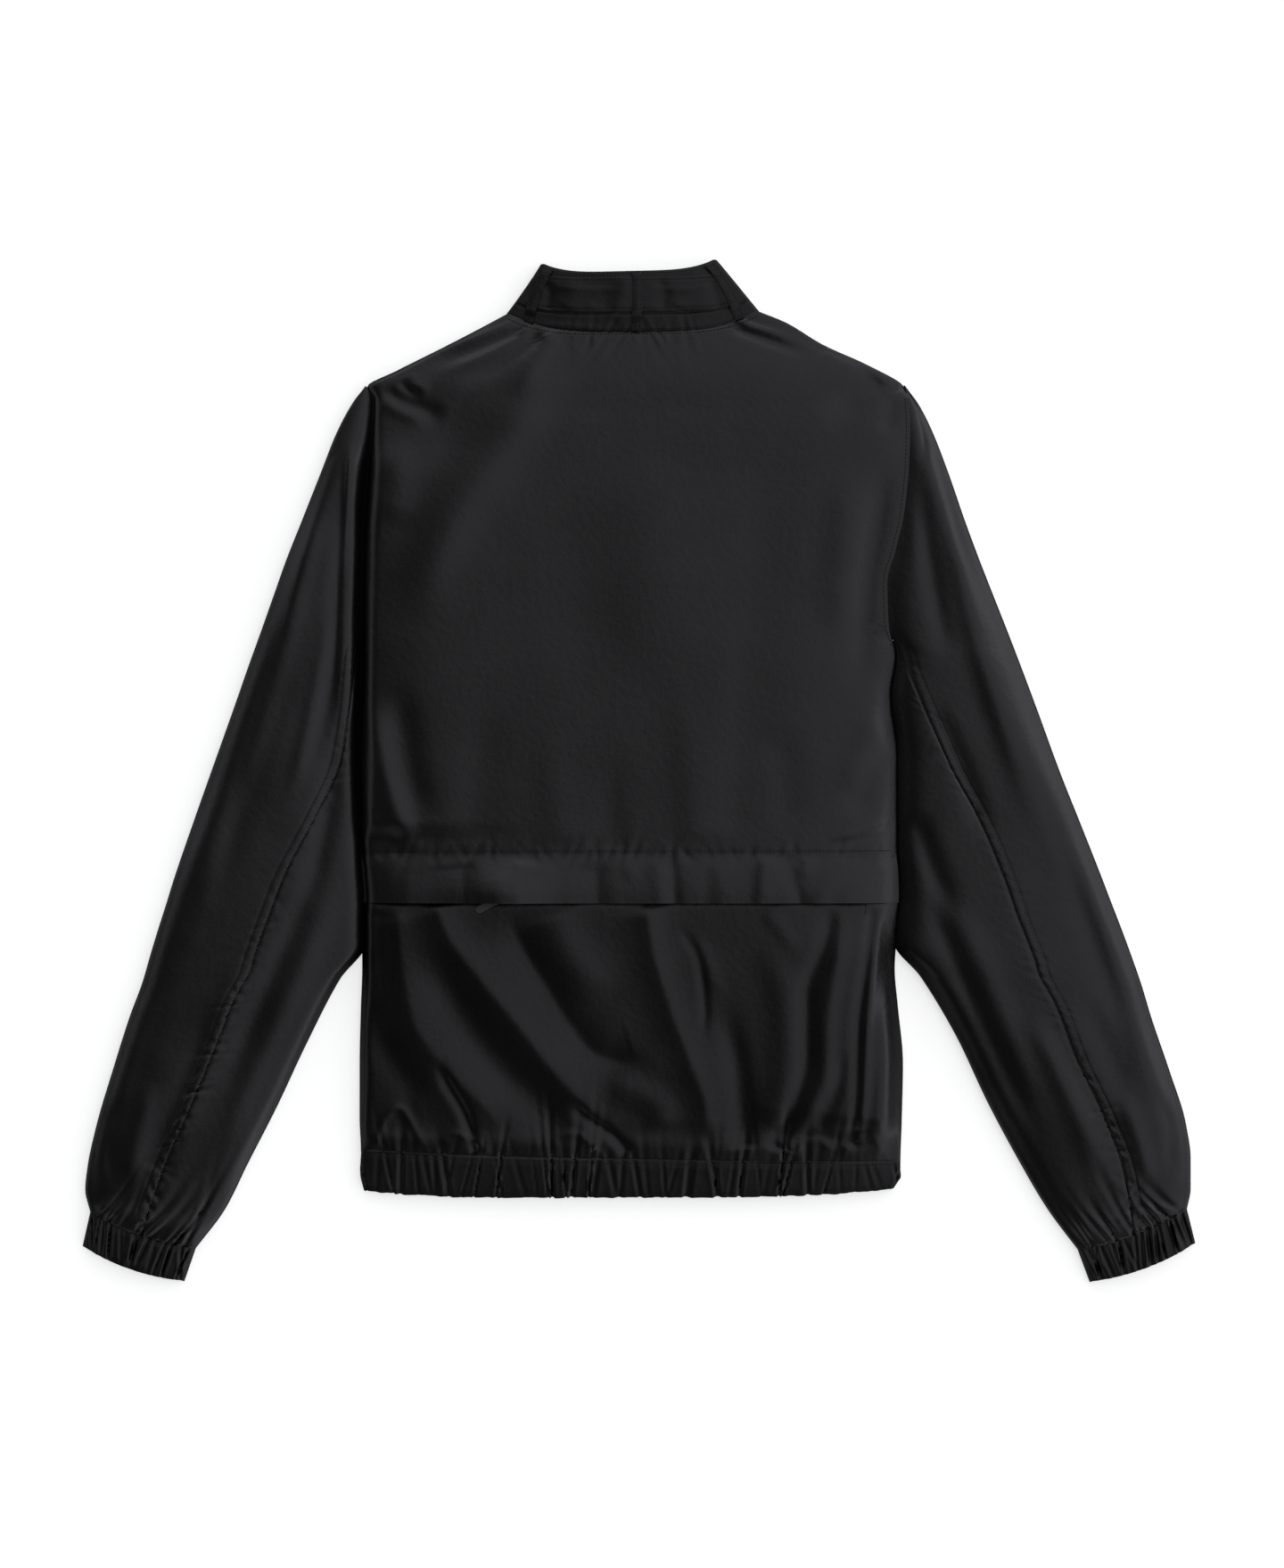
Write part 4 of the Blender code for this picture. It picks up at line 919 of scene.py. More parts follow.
def spread(start: Array | float, end: Array | float, count: int, rows: int) -> Array:
    """Returns rows of count + 1 even values from start to end."""
    start, end = np.broadcast_to(start, rows), np.broadcast_to(end, rows)
    return start[:, None] + (end - start)[:, None] * np.linspace(0, 1, count + 1)[None]


def joined(*runs: Array) -> Array:
    """Joins runs of values side by side, each of which starts where the one before it ends."""
    return np.concatenate([*(run[:, :-1] for run in runs[:-1]), runs[-1]], axis=1)


def column(rows: tuple, name: str) -> Array:
    """Returns one column of a table."""
    return np.array([getattr(row, name) for row in rows], float)


@dataclass
class Body:
    """The body of the jacket, read off its table of cross-sections."""

    open_edge: float = 0.06
    keys: Array = field(default_factory=lambda: column(BODY_ROWS, "back_y"))

    def values(self, at: Array) -> dict[str, Array]:
        """Returns every quantity of the table at some heights up the middle of the back."""
        read = smooth_rows(self.keys, np.array(BODY_ROWS, float), at)
        return {name: read[:, i] for i, name in enumerate(BodyRow._fields)}

    def sections(self, at: Array) -> Sections:
        """Reads the cross-sections off the table.

        Args:
            at: heights up the middle of the back.

        Returns:
            The cross-sections, one for each height.
        """
        v = self.values(at)
        mean_y = (v["left_y"] + v["right_y"]) / 2
        zero = np.zeros_like(mean_y)
        return Sections(
            key=at,
            a=np.stack([v["left_x"], v["left_y"]], 1),
            b=np.stack([v["right_x"], v["right_y"]], 1),
            height_a=v["left_height"],
            height_b=v["right_height"],
            radius_a=np.full_like(mean_y, EDGE_RADIUS),
            radius_b=EDGE_RADIUS * (1 - v["armhole"]),
            roll_a=v["left_roll"],
            roll_b=v["right_roll"],
            dome=v["dome"],
            top_bow=np.stack([zero, v["back_y"] - mean_y], 1),
            bottom_bow=np.stack([zero, v["front_y"] - mean_y], 1),
            bow_power=4,
            roll_width_a=5.0,
            roll_width_b=12.0,
            dome_power=4.0,
        )

    def back_grid(self, at: Array, columns: int, edge_columns: int, relief: Relief) -> Array:
        """Lays out the back's outer face, round both sides where they are closed.

        Args:
            at: heights up the middle of the back, one for each row.
            columns: steps across the top.
            edge_columns: steps round each side.
            relief: the height that the panel's folds add.

        Returns:
            The points of the face.
        """
        sections = self.sections(at)
        rows = len(at)
        closed = joined(
            spread(-1, 0, edge_columns, rows),
            spread(0, 1, columns, rows),
            spread(1, 2, edge_columns, rows),
        )
        opened = joined(
            spread(-0.5, 0, edge_columns, rows),
            spread(0, 1 - self.open_edge, columns, rows),
            spread(1 - self.open_edge, 1, edge_columns, rows),
        )
        share = self.values(at)["armhole"][:, None]
        u = closed + (opened - closed) * share
        flat = sections.points(u)
        height = relief(flat[..., 0], flat[..., 1], np.broadcast_to(at[:, None], u.shape))
        return sections.points(u, 0.0, height)

    def front_u(
        self, sections: Sections, right: bool, edge_gap: float, zip_gap: float, count: int
    ) -> Array:
        """Spreads the values of u over one front.

        Args:
            sections: the cross-sections.
            right: goes from the right side to the zip, or else from the zip to the left side.
            edge_gap: room left at the side.
            zip_gap: room left at the zip's middle.
            count: steps across.

        Returns:
            The values of u, one row for each cross-section.
        """
        rows = len(sections.key)
        if right:
            side = sections.b[:, 0] - sections.radius_b - edge_gap
            places = spread(side, ZIP_X + zip_gap, count, rows)
        else:
            side = sections.a[:, 0] + sections.radius_a + edge_gap
            places = spread(ZIP_X - zip_gap, side, count, rows)
        share = (places - sections.a[:, :1]) / (sections.b[:, :1] - sections.a[:, :1])
        inner = sections.width - sections.radius_a - sections.radius_b
        return 3 - (share * sections.width[:, None] - sections.radius_a[:, None]) / inner[:, None]

    def wrapped_u(self, sections: Sections, top: int, edge: int, front: int) -> Array:
        """Spreads the values of u from the zip the whole way round and back to it.

        Args:
            sections: the cross-sections.
            top: steps across the top.
            edge: steps round each side.
            front: steps across each front.

        Returns:
            The values of u, one row for each cross-section.
        """
        rows = len(sections.key)
        zip_gap = CHAIN_WIDTH / 2 + CHAIN_GAP
        return np.concatenate(
            [
                self.front_u(sections, False, 0, zip_gap, front)[:, :-1],
                spread(3, 4, edge, rows)[:, :-1],
                spread(4, 5, top, rows),
                spread(1, 2, edge, rows)[:, 1:],
                self.front_u(sections, True, 0, zip_gap, front)[:, 1:],
            ],
            axis=1,
        )


BODY = Body()


def seam_groove(away: Array, depth: float = 0.3, width: float = 1.0) -> Array:
    """Returns the dip that a line of sewing pulls into the cloth."""
    return -depth * bump(away, width)


def tucked(inside: Array) -> Array:
    """Returns how far down an edge is turned in, a distance inside its seam."""
    return TUCK_DEPTH * smooth(0.5 - inside / TUCK)


@dataclass
class Backs:
    """The two back panels, above and below the pocket zip."""

    blouse_height: float = 1.6  # of the slack that the elastic lets stand above its seam
    blouse_place: float = 12.0
    blouse_width: float = 9.0
    dip_under_flap: float = 0.8

    def upper_relief(self, x: Array, y: Array, key: Array) -> Array:
        """Works out the creases, puckers and slight unevenness of the upper back.

        Args:
            x: the places across.
            y: the places along.
            key: their heights up the middle of the back.

        Returns:
            The height added at each place.
        """
        height = creased(UPPER_CREASES, x, y)
        height += 0.6 * unevenness(x, y, 70, 21) + 0.10 * unevenness(x, y, 24, 22)
        flap = key - FLAP_SEAM_Y
        height += FLAP_GATHERS.at(x, flap) * (flap > -4) + seam_groove(flap, 0.5)
        neck = NECK_Y - key
        height += NECK_GATHERS.at(x, -neck) + seam_groove(neck, 0.3) - tucked(neck)
        return height

    def lower_relief(self, x: Array, y: Array, key: Array) -> Array:
        """Works out the folds of the lower back and the gathers above the hem band.

        Args:
            x: the places across.
            y: the places along.
            key: their heights up the middle of the back.

        Returns:
            The height added at each place.
        """
        height = creased(LOWER_CREASES, x, y)
        height += 0.7 * unevenness(x, y, 60, 23) + 0.15 * unevenness(x, y, 22, 24)
        hem = key - HEM_SEAM_Y
        height += HEM_GATHERS.at(x, hem) + seam_groove(hem, 0.3, 1.0) - tucked(hem)
        # The elastic lets the cloth blouse a little just above its seam.
        height += self.blouse_height * bump(hem - self.blouse_place, self.blouse_width)
        # Its upper edge dips under the flap.
        height -= self.dip_under_flap * smooth((key - FLAP_EDGE_Y + 4) / 4.5)
        return height

    def build(self) -> None:
        """Makes both panels."""
        half_opening = CHAIN_WIDTH / 2 + CHAIN_GAP
        low = np.linspace(HEM_SEAM_Y - TUCK, POCKET_ZIP_Y - half_opening, 100)
        grid = BODY.back_grid(low, 210, 8, self.lower_relief)
        ClothPiece("back_lower", SHELL, (0.46, 0.205), rests_on=("front_left", "front_right"),
                   finish=Finishes.LOWER_NYLON_PAINTED_SHADE).sew(grid)
        high = np.linspace(POCKET_ZIP_Y + half_opening, NECK_Y + TUCK, 188)
        grid = BODY.back_grid(high, 180, 8, self.upper_relief)
        ClothPiece("back_upper", SHELL, (0.46, 0.45), rests_on=("front_left", "front_right")).sew(grid)


FLAP_FOLDS = (
    # path height left right fade flare profile
    Crease(((-196, -62), (-190, -106)), 0.9, 14, 20, (0.2, 0)),
    Crease(((-138, -70), (-134, -106)), -1.9, 9, 20, (0.2, 0), 1.0, CRISP),
    Crease(((-92, -66), (-96, -90), (-92, -106)), 1.5, 22, 10, (0.2, 0), 1.0, CRISP),
    Crease(((-34, -68), (-31, -106)), -1.5, 7, 16, (0.3, 0), 1.0, CRISP),
    Crease(((-12, -64), (-6, -88)), 0.6, 6, 5, (0.2, 0.4)),
    Crease(((14, -64), (18, -106)), 0.8, 6, 6, (0.3, 0)),
    Crease(((26, -64), (29, -106)), -1.4, 4, 7, (0.3, 0), 1.0, CRISP),
    Crease(((58, -64), (66, -84), (70, -106)), 0.7, 12, 10, (0.3, 0)),
    Crease(((98, -64), (93, -106)), 1.5, 14, 5, (0.2, 0), 1.0, CRISP),
    Crease(((116, -64), (120, -84), (128, -106)), -1.3, 5, 8, (0.2, 0), 1.0, CRISP),
    Crease(((132, -66), (128, -86)), 0.7, 6, 5, (0.2, 0.4)),
    Crease(((164, -66), (150, -86), (140, -106)), 0.9, 8, 8, (0.2, 0)),
    Crease(((186, -64), (182, -106)), -0.7, 10, 10, (0.2, 0)),
)


@dataclass
class Flap:
    """The storm flap: it hangs from its seam, stands off the back and lifts over the slider."""

    lift_at_seam: float = 1.5
    lift: float = 4.5  # off the back, along the lower edge
    wave: float = 8.5  # how much more it lifts over the slider
    wave_half_width: float = 30.0
    rise_length: float = 34.0  # from its seam to its full lift
    end_length: float = 40.0  # over which it comes down to its ends
    held: float = 1.3  # how far its seam holds it down
    held_width: float = 8.0

    def build(self) -> None:
        """Makes the flap."""
        at = np.linspace(FLAP_EDGE_Y, FLAP_SEAM_Y - GAP, 30)
        sections = BODY.sections(at)
        u = spread(-0.33, 1.13, 230, len(at))
        flat = sections.points(u)
        x, y, key = flat[..., 0], flat[..., 1], np.broadcast_to(at[:, None], u.shape)
        wave = self.wave * np.exp(-(((x - SLIDER_X) / self.wave_half_width) ** 2))
        inset = np.minimum(x - sections.a[:, :1], sections.b[:, :1] - x)
        ends = smooth(inset / self.end_length)
        share = smooth((FLAP_SEAM_Y - key) / self.rise_length)
        full = self.lift_at_seam + (self.lift - self.lift_at_seam + wave) * ends
        lift = self.lift_at_seam + (full - self.lift_at_seam) * share
        away = key - FLAP_SEAM_Y
        # The flap's own seam holds it down on the back.
        lift -= self.held * bump(away, self.held_width)
        puckers = FLAP_GATHERS.at(x, away) + 0.25 * wobble(x, 9, 31) * smooth(-away / 30)
        relief = creased(FLAP_FOLDS, x, y) + puckers
        # The back's own creases run on under the flap as they were, so that the two don't cross.
        grid = sections.points(u, lift, relief + 0.6 * unevenness(x, y, 70, 21))
        ClothPiece("back_flap", SHELL, (0.45, 0.045), rests_on=("back_upper", "back_lower")).sew(grid)


@dataclass
class Fronts:
    """The two fronts, flat but for the rise round the slider and a few soft folds."""

    side_gap: float = 1.8  # between each front and the back's side
    edge_fade: float = 14.0  # over which the folds die away towards the edges
    neck_fade: float = 30.0  # and towards the neck

    def build(self) -> None:
        """Makes both fronts."""
        zip_gap = CHAIN_WIDTH / 2 + CHAIN_GAP
        at = np.linspace(HEM_SEAM_Y + GAP / 2, NECK_Y - GAP / 2, 160)
        sections = BODY.sections(at)
        for side, right in (("left", False), ("right", True)):
            u = BODY.front_u(sections, right, self.side_gap, zip_gap, 52)
            grid = sections.points(u)
            x, y = grid[..., 0], grid[..., 1]
            side_x = (sections.b if right else sections.a)[:, :1]
            inset = np.minimum(np.abs(x - ZIP_X) - zip_gap, np.abs(x - side_x))
            hem = y - HEM_SEAM_Y
            raised = creased(FRONT_CREASES, x, y) + 0.5 * (1 + unevenness(x, y, 40, 41))
            raised += np.maximum(HEM_FRONT_GATHERS.at(x, hem), 0)
            raised *= smooth(inset / self.edge_fade)
            grid[..., 2] += raised * smooth((NECK_Y - at[:, None]) / self.neck_fade)
            ClothPiece(f"front_{side}", SHELL, (0.25, 0.64), area=0.145).sew(grid)


@dataclass
class HemBand:
    """The elastic band below the hem seam, ribbed all round and open at the front zip."""

    edge_share: float = 0.55  # of the ribs' height that is left at the band's edges
    middle_share: float = 0.45  # and how much more of it there is along the middle
    drawn_in: float = 0.7  # how far its edges are drawn in

    def build(self) -> None:
        """Makes the band."""
        at = np.linspace(HEM_Y, HEM_SEAM_Y, 16)
        sections = BODY.sections(at)
        u = BODY.wrapped_u(sections, 300, 10, 110)
        x = sections.points(u)[..., 0]
        away = np.broadcast_to(at[:, None] - HEM_SEAM_Y, x.shape)
        over = (u >= 3.6) | (u <= 1.4)
        ribs = np.where(over, HEM_GATHERS.ribs(x, away), np.minimum(HEM_FRONT_GATHERS.ribs(x, away), 0))
        ends = np.minimum(at - HEM_Y, HEM_SEAM_Y - at)[:, None]
        # The band is fullest along its middle and is drawn in at its seam and its folded edge.
        out = ribs * (self.edge_share + self.middle_share * smooth(ends / 8))
        out += np.where(over, self.drawn_in * smooth(ends / 5) - self.drawn_in, 0)
        grid = sections.points(u, out)
        # Each rib lets the folded edge down a little.
        low = smooth((HEM_Y + 9 - at) / 9)[:, None]
        grid[..., 1] -= low * np.where(over, 0.5 * ribs + 0.5 * wobble(x, 7, 33), 0)
        ClothPiece("hem_band", BAND, (0.86, 0.028), held=Held.GATHERED,
                   finish=Finishes.DOUBLED_NYLON_PAINTED_SHADE).sew(grid)


@dataclass
class Collar:
    """The funnel collar, flattened, with the strap round its back and the loops over the strap."""

    keys: Array = field(default_factory=lambda: column(COLLAR_ROWS, "back_y"))

    def sections(self, at: Array) -> Sections:
        """Reads the cross-sections off the table.

        Args:
            at: heights up the middle of the collar.

        Returns:
            The cross-sections, one for each height.
        """
        read = smooth_rows(self.keys, np.array(COLLAR_ROWS, float), at)
        v = {name: read[:, i] for i, name in enumerate(CollarRow._fields)}
        mean_y = (v["left_y"] + v["right_y"]) / 2
        zero, full = np.zeros_like(mean_y), np.full_like(mean_y, EDGE_RADIUS)
        return Sections(
            key=at,
            a=np.stack([v["left_x"], v["left_y"]], 1),
            b=np.stack([v["right_x"], v["right_y"]], 1),
            height_a=v["height"],
            height_b=v["height"],
            radius_a=full,
            radius_b=full,
            roll_a=zero,
            roll_b=zero,
            dome=v["dome"],
            top_bow=np.stack([zero, v["back_y"] - mean_y], 1),
            bottom_bow=np.stack([zero, v["front_y"] - mean_y], 1),
            bow_power=4,
        )

    @staticmethod
    def relief(x: Array, y: Array) -> Array:
        """Returns the collar's own creases."""
        return creased(COLLAR_CREASES, x, y) + 0.5 * unevenness(x, y, 26, 51)

    def build(self) -> None:
        """Makes the collar, the strap and the three loops."""
        at = np.linspace(NECK_Y, self.keys[-1], 60)
        sections = self.sections(at)
        u = BODY.wrapped_u(sections, 110, 8, 40)
        flat = sections.points(u)
        seam = at[:, None] - NECK_Y
        relief = self.relief(flat[..., 0], flat[..., 1]) + NECK_GATHERS.at(flat[..., 0], seam) * 0.5
        relief += seam_groove(seam, 0.5) - 0.9 * bump(self.keys[-1] - at[:, None], 1.2)
        # The strap's lower edge stands a little clear of the collar.
        relief -= 0.8 * bump(at[:, None] - STRAP_LOW_Y + 0.6, 1.5)
        grid = sections.points(u, 0.0, relief)
        ClothPiece("collar", BAND, (0.40, 0.062), finish=Finishes.DOUBLED_NYLON_PAINTED_SHADE).sew(grid)

        at = np.linspace(STRAP_LOW_Y, STRAP_HIGH_Y, 36)
        sections = self.sections(at)
        u = spread(0.0, 1.0, 150, len(at))
        flat = sections.points(u)
        edge = np.minimum(at - STRAP_LOW_Y, STRAP_HIGH_Y - at)[:, None]
        x, y = flat[..., 0], flat[..., 1]
        relief = self.relief(x, y) + creased(STRAP_CREASES, x, y)
        relief -= 0.35 * bump(edge - 2.4, 0.8)
        out = GAP + STRAP_WALL - 0.5 * bump(edge, 0.9) + 0.5 * bump(at[:, None] - STRAP_LOW_Y, 7)
        grid = sections.points(u, out, relief)
        ClothPiece("collar_strap", SHELL, (0.19, 0.03), rests_on=("collar",),
                   finish=Finishes.DOUBLED_NYLON_PAINTED_SHADE).sew(grid)

        height = self.keys[-1] - self.keys[0]
        for side, (low, high) in LOOP_PLACES.items():
            up = np.linspace(0.02, 0.99, 26)
            middle = low + (high - low) * up
            sections = self.sections(self.keys[0] + up * height)
            over = smooth((up - 0.13) / 0.14) * smooth((0.985 - up) / 0.07)
            out = GAP + LOOP_WALL + over * (GAP + STRAP_WALL + 0.3)
            half = LOOP_WIDTH / 2 / sections.width
            u = spread(middle - half, middle + half, 8, len(up))
            flat = sections.points(u)
            across = np.linspace(-1, 1, 9)[None]
            puckers = 0.35 * wobble(up[:, None] * height + 0.6 * across, 2.6, 61) * np.abs(across)
            relief = self.relief(flat[..., 0], flat[..., 1]) - 0.15 * across**2 + puckers
            grid = sections.points(u, out[:, None], relief)
            ClothPiece(f"collar_loop_{side}", SHELL, (0.010, 0.052), held=Held.FOLDED,
                       rests_on=("collar_strap",), finish=Finishes.DOUBLED_NYLON_PAINTED_SHADE).sew(grid)


COLLAR_CREASES = (
    # path height left right fade
    Crease(((-88, 352), (-60, 350), (-20, 347)), 0.6, 3, 4, (0.3, 0.3)),
    Crease(((60, 349), (84, 353)), -0.6, 3, 3, (0.3, 0.3)),
    Crease(((-10, 392), (-14, 372), (-20, 352)), 0.7, 6, 6, (0.2, 0.2)),
    Crease(((34, 394), (36, 372), (40, 352)), -0.6, 7, 7, (0.2, 0.2)),
)
STRAP_CREASES = (
    # path height left right fade
    Crease(((-74, 386), (-70, 374), (-72, 362)), -0.9, 4, 5, (0.1, 0.1)),
    Crease(((-60, 388), (-52, 376), (-58, 361)), 0.8, 8, 8, (0.2, 0.2)),
    Crease(((-30, 388), (-26, 374), (-30, 361)), -0.6, 9, 9, (0.2, 0.2)),
    Crease(((14, 388), (20, 374), (18, 361)), -0.8, 5, 6, (0.2, 0.2)),
    Crease(((30, 388), (36, 376), (32, 361)), 0.8, 8, 8, (0.2, 0.2)),
    Crease(((56, 388), (60, 374), (66, 362)), -0.8, 5, 5, (0.2, 0.1)),
    Crease(((-70, 381), (-35, 378), (-12, 379)), 0.5, 2.5, 3.5, (0.2, 0.2)),
    Crease(((6, 379), (34, 378), (60, 382)), 0.5, 2.5, 3.5, (0.2, 0.2)),
)


@dataclass
class Sleeve:
    """One sleeve: its upper panel, its under panel and its cuff."""

    right: bool
    free_rows: tuple[SleeveRow, ...]
    side_rows: tuple[SideRow, ...]
    creases: tuple[Crease, ...]
    pucker_depth: float
    seed: int
    nestle: float  # how far the inner edge lies in against the body's side below the underarm
    armhole_nestle: float  # and beside the armhole
    free_height: float = 7.0  # of the inner edge below the body's side
    outer_height: float = 8.0
    dropped_height: float = 3.2
    flattened: float = 0.4  # share of a section's dome that stands as a flat top instead
    flange: float = 9.5  # width of the felled seam's allowance
    seam_shown: float = 0.012  # least place of the seam for which the sleeve has an under panel

    def __post_init__(self) -> None:
        """Joins the sleeve's own rows to those beside the body's side in one table."""
        rows = [
            (r.inner_x, r.inner_y, r.outer_x, r.outer_y, r.seam, r.roll, r.roll, r.dome,
             self.free_height, EDGE_RADIUS)
            for r in self.free_rows
        ]
        for body, side in zip(BODY_ROWS[APEX_ROW : TOP_SLEEVE_ROW + 1], self.side_rows, strict=True):
            nestle = self.armhole_nestle if body.armhole else self.nestle
            height = body.right_height if self.right else body.left_height
            radius = EDGE_RADIUS * (1 - body.armhole)
            roll = 3 * min(1.0, side.dome / 5)
            inner_roll = 0.0 if self.right and body.armhole else roll
            if self.right:
                edge, edge_y = body.right_x - nestle, body.right_y
                height -= 0.6 * body.armhole
            else:
                # The body's edge lies over the left sleeve, which drops away into shadow beside it.
                edge, edge_y = body.left_x + nestle, body.left_y
                inner_roll += height - self.dropped_height
                height = self.dropped_height
            place = (edge, edge_y, side.outer_x, side.outer_y)
            rows.append((*place, side.seam, inner_roll, roll, side.dome, height, radius))
        # The sleeve's head closes against the end of the shoulder.
        body = BODY_ROWS[TOP_SLEEVE_ROW + 1]
        x, y, turn = (body.right_x, body.right_y, 1) if self.right else (body.left_x, body.left_y, -1)
        height = body.right_height if self.right else body.left_height
        rows.append((x + turn * GAP, y, x + turn * 1.6, y, 0, 0, 0, 0, height, 0))
        self.table = np.array(rows, float)
        risen = self.flattened * self.table[:, 7]
        self.table[:, 5:7] += risen[:, None]
        self.table[:, 7] -= risen
        middles = (self.table[:, 0:2] + self.table[:, 2:4]) / 2
        steps = np.linalg.norm(np.diff(middles, axis=0), axis=1)
        self.keys = np.concatenate([[0], np.cumsum(steps)])
        self.side = "right" if self.right else "left"

    @property
    def cuff_gathers(self) -> Gathers:
        """The folds above the cuff, which run on down it as its ribs."""
        return Gathers(0, 92, 14, 3.0, 1.8, 30, self.seed + 3, lean=0.3, lift=0.35)

    def sections(self, at: Array) -> tuple[Sections, Array]:
        """Reads the cross-sections off the table.

        Args:
            at: distances from the cuff.

        Returns:
            The cross-sections, and the seam's place in each.
        """
        read = smooth_rows(self.keys, self.table, at)
        inner, outer = read[:, 0:2], read[:, 2:4]
        along = (outer - inner) / np.linalg.norm(outer - inner, axis=1)[:, None]
        turn = 1 if self.right else -1
        hand = np.stack([turn * along[:, 1], -turn * along[:, 0]], 1)
        bow = CUFF_BOW * np.clip(1 - at / self.keys[1], 0, 1)
        width = np.linalg.norm(outer - inner, axis=1)
        sections = Sections(
            key=at,
            a=inner,
            b=outer,
            height_a=read[:, 8],
            height_b=np.full(len(at), self.outer_height),
            radius_a=read[:, 9],
            radius_b=np.minimum(EDGE_RADIUS, width / 3),
            roll_a=read[:, 5],
            roll_b=read[:, 6],
            dome=read[:, 7],
            top_bow=hand * bow[:, None],
            bottom_bow=hand * bow[:, None],
            bow_power=2,
            roll_width_a=12.0 if self.right else 6.5,
            roll_width_b=11.0,
        )
        return sections, np.clip(read[:, 4], 0, 1)

    def relief(self, sections: Sections, seam: Array, u: Array, over_seam: int) -> Array:
        """Works out the height added over one panel.

        Args:
            sections: the cross-sections.
            seam: the seam's place in each.
            u: the panel's values of u.
            over_seam: 1 for the upper panel, which carries the felled seam, and -1 for the under
                one.

        Returns:
            The height added at each place.
        """
        flat = sections.points(u)
        x, y = flat[..., 0], flat[..., 1]
        run = sections.run(np.where(u >= 4, u - 4, u))
        away = over_seam * (run - sections.run(seam[:, None]))
        key = np.broadcast_to(sections.key[:, None], u.shape)
        height = creased(self.creases, x, y)
        height += 0.8 * unevenness(x, y, 56, self.seed) + 0.15 * unevenness(x, y, 20, self.seed + 1)
        puckers = Gathers(0, self.keys[-1], 90, self.pucker_depth, 1.5, 8, self.seed + 2, lean=0.9)
        heavier = 0.6 + 0.6 * smooth((300 - key) / 220)
        seamed = smooth(seam[:, None] / 0.05)
        height += seamed * heavier * puckers.at(key, away * over_seam)
        height += seamed * seam_groove(away, 0.7, 1.2)
        if over_seam > 0:
            # The seam is felled: its allowance lies under the upper panel, between two rows of
            # stitches.
            flange = smooth((self.flange - away) / 2) * smooth(away / 1.0)
            height += seamed * (0.3 * flange - 0.6 * bump(away - 8.0, 0.9))
        height += self.cuff_gathers.at(run, key) + 1.5 * bump(key - 11, 8) + seam_groove(key, 0.3, 1.0)
        height -= tucked(key)
        return height

    def build(self) -> None:
        """Makes the two panels and the cuff."""
        at = np.linspace(-TUCK, self.keys[-1], 350)
        sections, seam = self.sections(at)
        rows = len(at)
        has_seam = seam > self.seam_shown
        gap = GAP / 2 / sections.width
        start = np.where(has_seam, seam + gap, 0.0)
        u = joined(spread(start, 1, 64, rows), spread(1, 2, 8, rows), spread(2, 3 - start, 18, rows))
        relief = self.relief(sections, seam, u, 1)
        grid = self.settled(sections.points(u, 0.0, relief), u)
        top = ClothPiece(f"sleeve_{self.side}_top", SHELL, (0.26, 0.70), area=0.105)
        top.sew(grid, flip=not self.right)

        low = int(np.argmin(has_seam)) if not has_seam.all() else rows
        sections, seam = self.sections(at[:low])
        gap = GAP / 2 / sections.width
        u = joined(
            spread(3 - seam + gap, 3, 14, low), spread(3, 4, 8, low), spread(4, 4 + seam - gap, 36, low)
        )
        relief = self.relief(sections, seam, u, -1)
        grid = self.settled(sections.points(u, 0.0, relief), u)
        under = ClothPiece(f"sleeve_{self.side}_under", SHELL, (0.21, 0.53), area=0.06)
        under.sew(grid, flip=not self.right)
        self.build_cuff()

    @staticmethod
    def settled(grid: Array, u: Array) -> Array:
        """Lets the lower side off the surface a little, here and there.

        Args:
            grid: the panel's points.
            u: their places round the sleeve.

        Returns:
            The points.
        """
        x, y = grid[..., 0], grid[..., 1]
        inside = smooth((u - 2.05) / 0.2) * smooth((2.95 - u) / 0.2)
        grid[..., 2] += inside * 0.8 * (1 + unevenness(x, y, 34, 71))
        return grid

    def build_cuff(self) -> None:
        """The elastic cuff, ribbed all round."""
        sections, _ = self.sections(np.zeros(1))
        hand = sections.top_bow / np.linalg.norm(sections.top_bow)
        along = (sections.b - sections.a) / sections.width[:, None]
        share = np.linspace(1, 0, 18)[:, None]
        reach = CUFF_LENGTH * share
        one = np.ones(len(share))
        ring = Sections(
            key=reach[:, 0],
            a=sections.a + hand * reach,
            b=sections.b + hand * reach - along * CUFF_TAPER * share,
            height_a=sections.height_a - CUFF_FALL * share[:, 0],
            height_b=sections.height_b - CUFF_FALL * share[:, 0],
            radius_a=sections.radius_a * one,
            radius_b=sections.radius_b * one,
            roll_a=sections.roll_a * one,
            roll_b=sections.roll_b * one,
            dome=sections.dome * one,
            top_bow=sections.top_bow * one[:, None],
            bottom_bow=sections.bottom_bow * one[:, None],
            bow_power=2,
        )
        rows = len(share)
        u = joined(
            spread(0, 1, 110, rows),
            spread(1, 2, 10, rows),
            spread(2, 3, 70, rows),
            spread(3, 4, 10, rows),
        )[:, :-1]
        width = float(sections.width[0])
        place = np.where(u < 1.5, u, np.where(u < 3.5, 3 - u, u - 4)) * width
        ribs = self.cuff_gathers.ribs(place, -ring.key[:, None])
        over = (u <= 1.3) | (u >= 3.7)
        ends = np.minimum(ring.key - GAP, CUFF_LENGTH - ring.key)[:, None]
        out = np.where(over, ribs * 0.8, np.minimum(0.5 * ribs, 0)) * (0.5 + 0.5 * smooth(ends / 7))
        out += np.where(over, 0.6 * smooth(ends / 5) - 0.6, 0)
        grid = ring.points(u, out)
        ClothPiece(f"cuff_{self.side}", BAND, (0.2, 0.03), held=Held.GATHERED,
                   finish=Finishes.DOUBLED_NYLON_PAINTED_SHADE).sew(grid, closed=True, flip=not self.right)


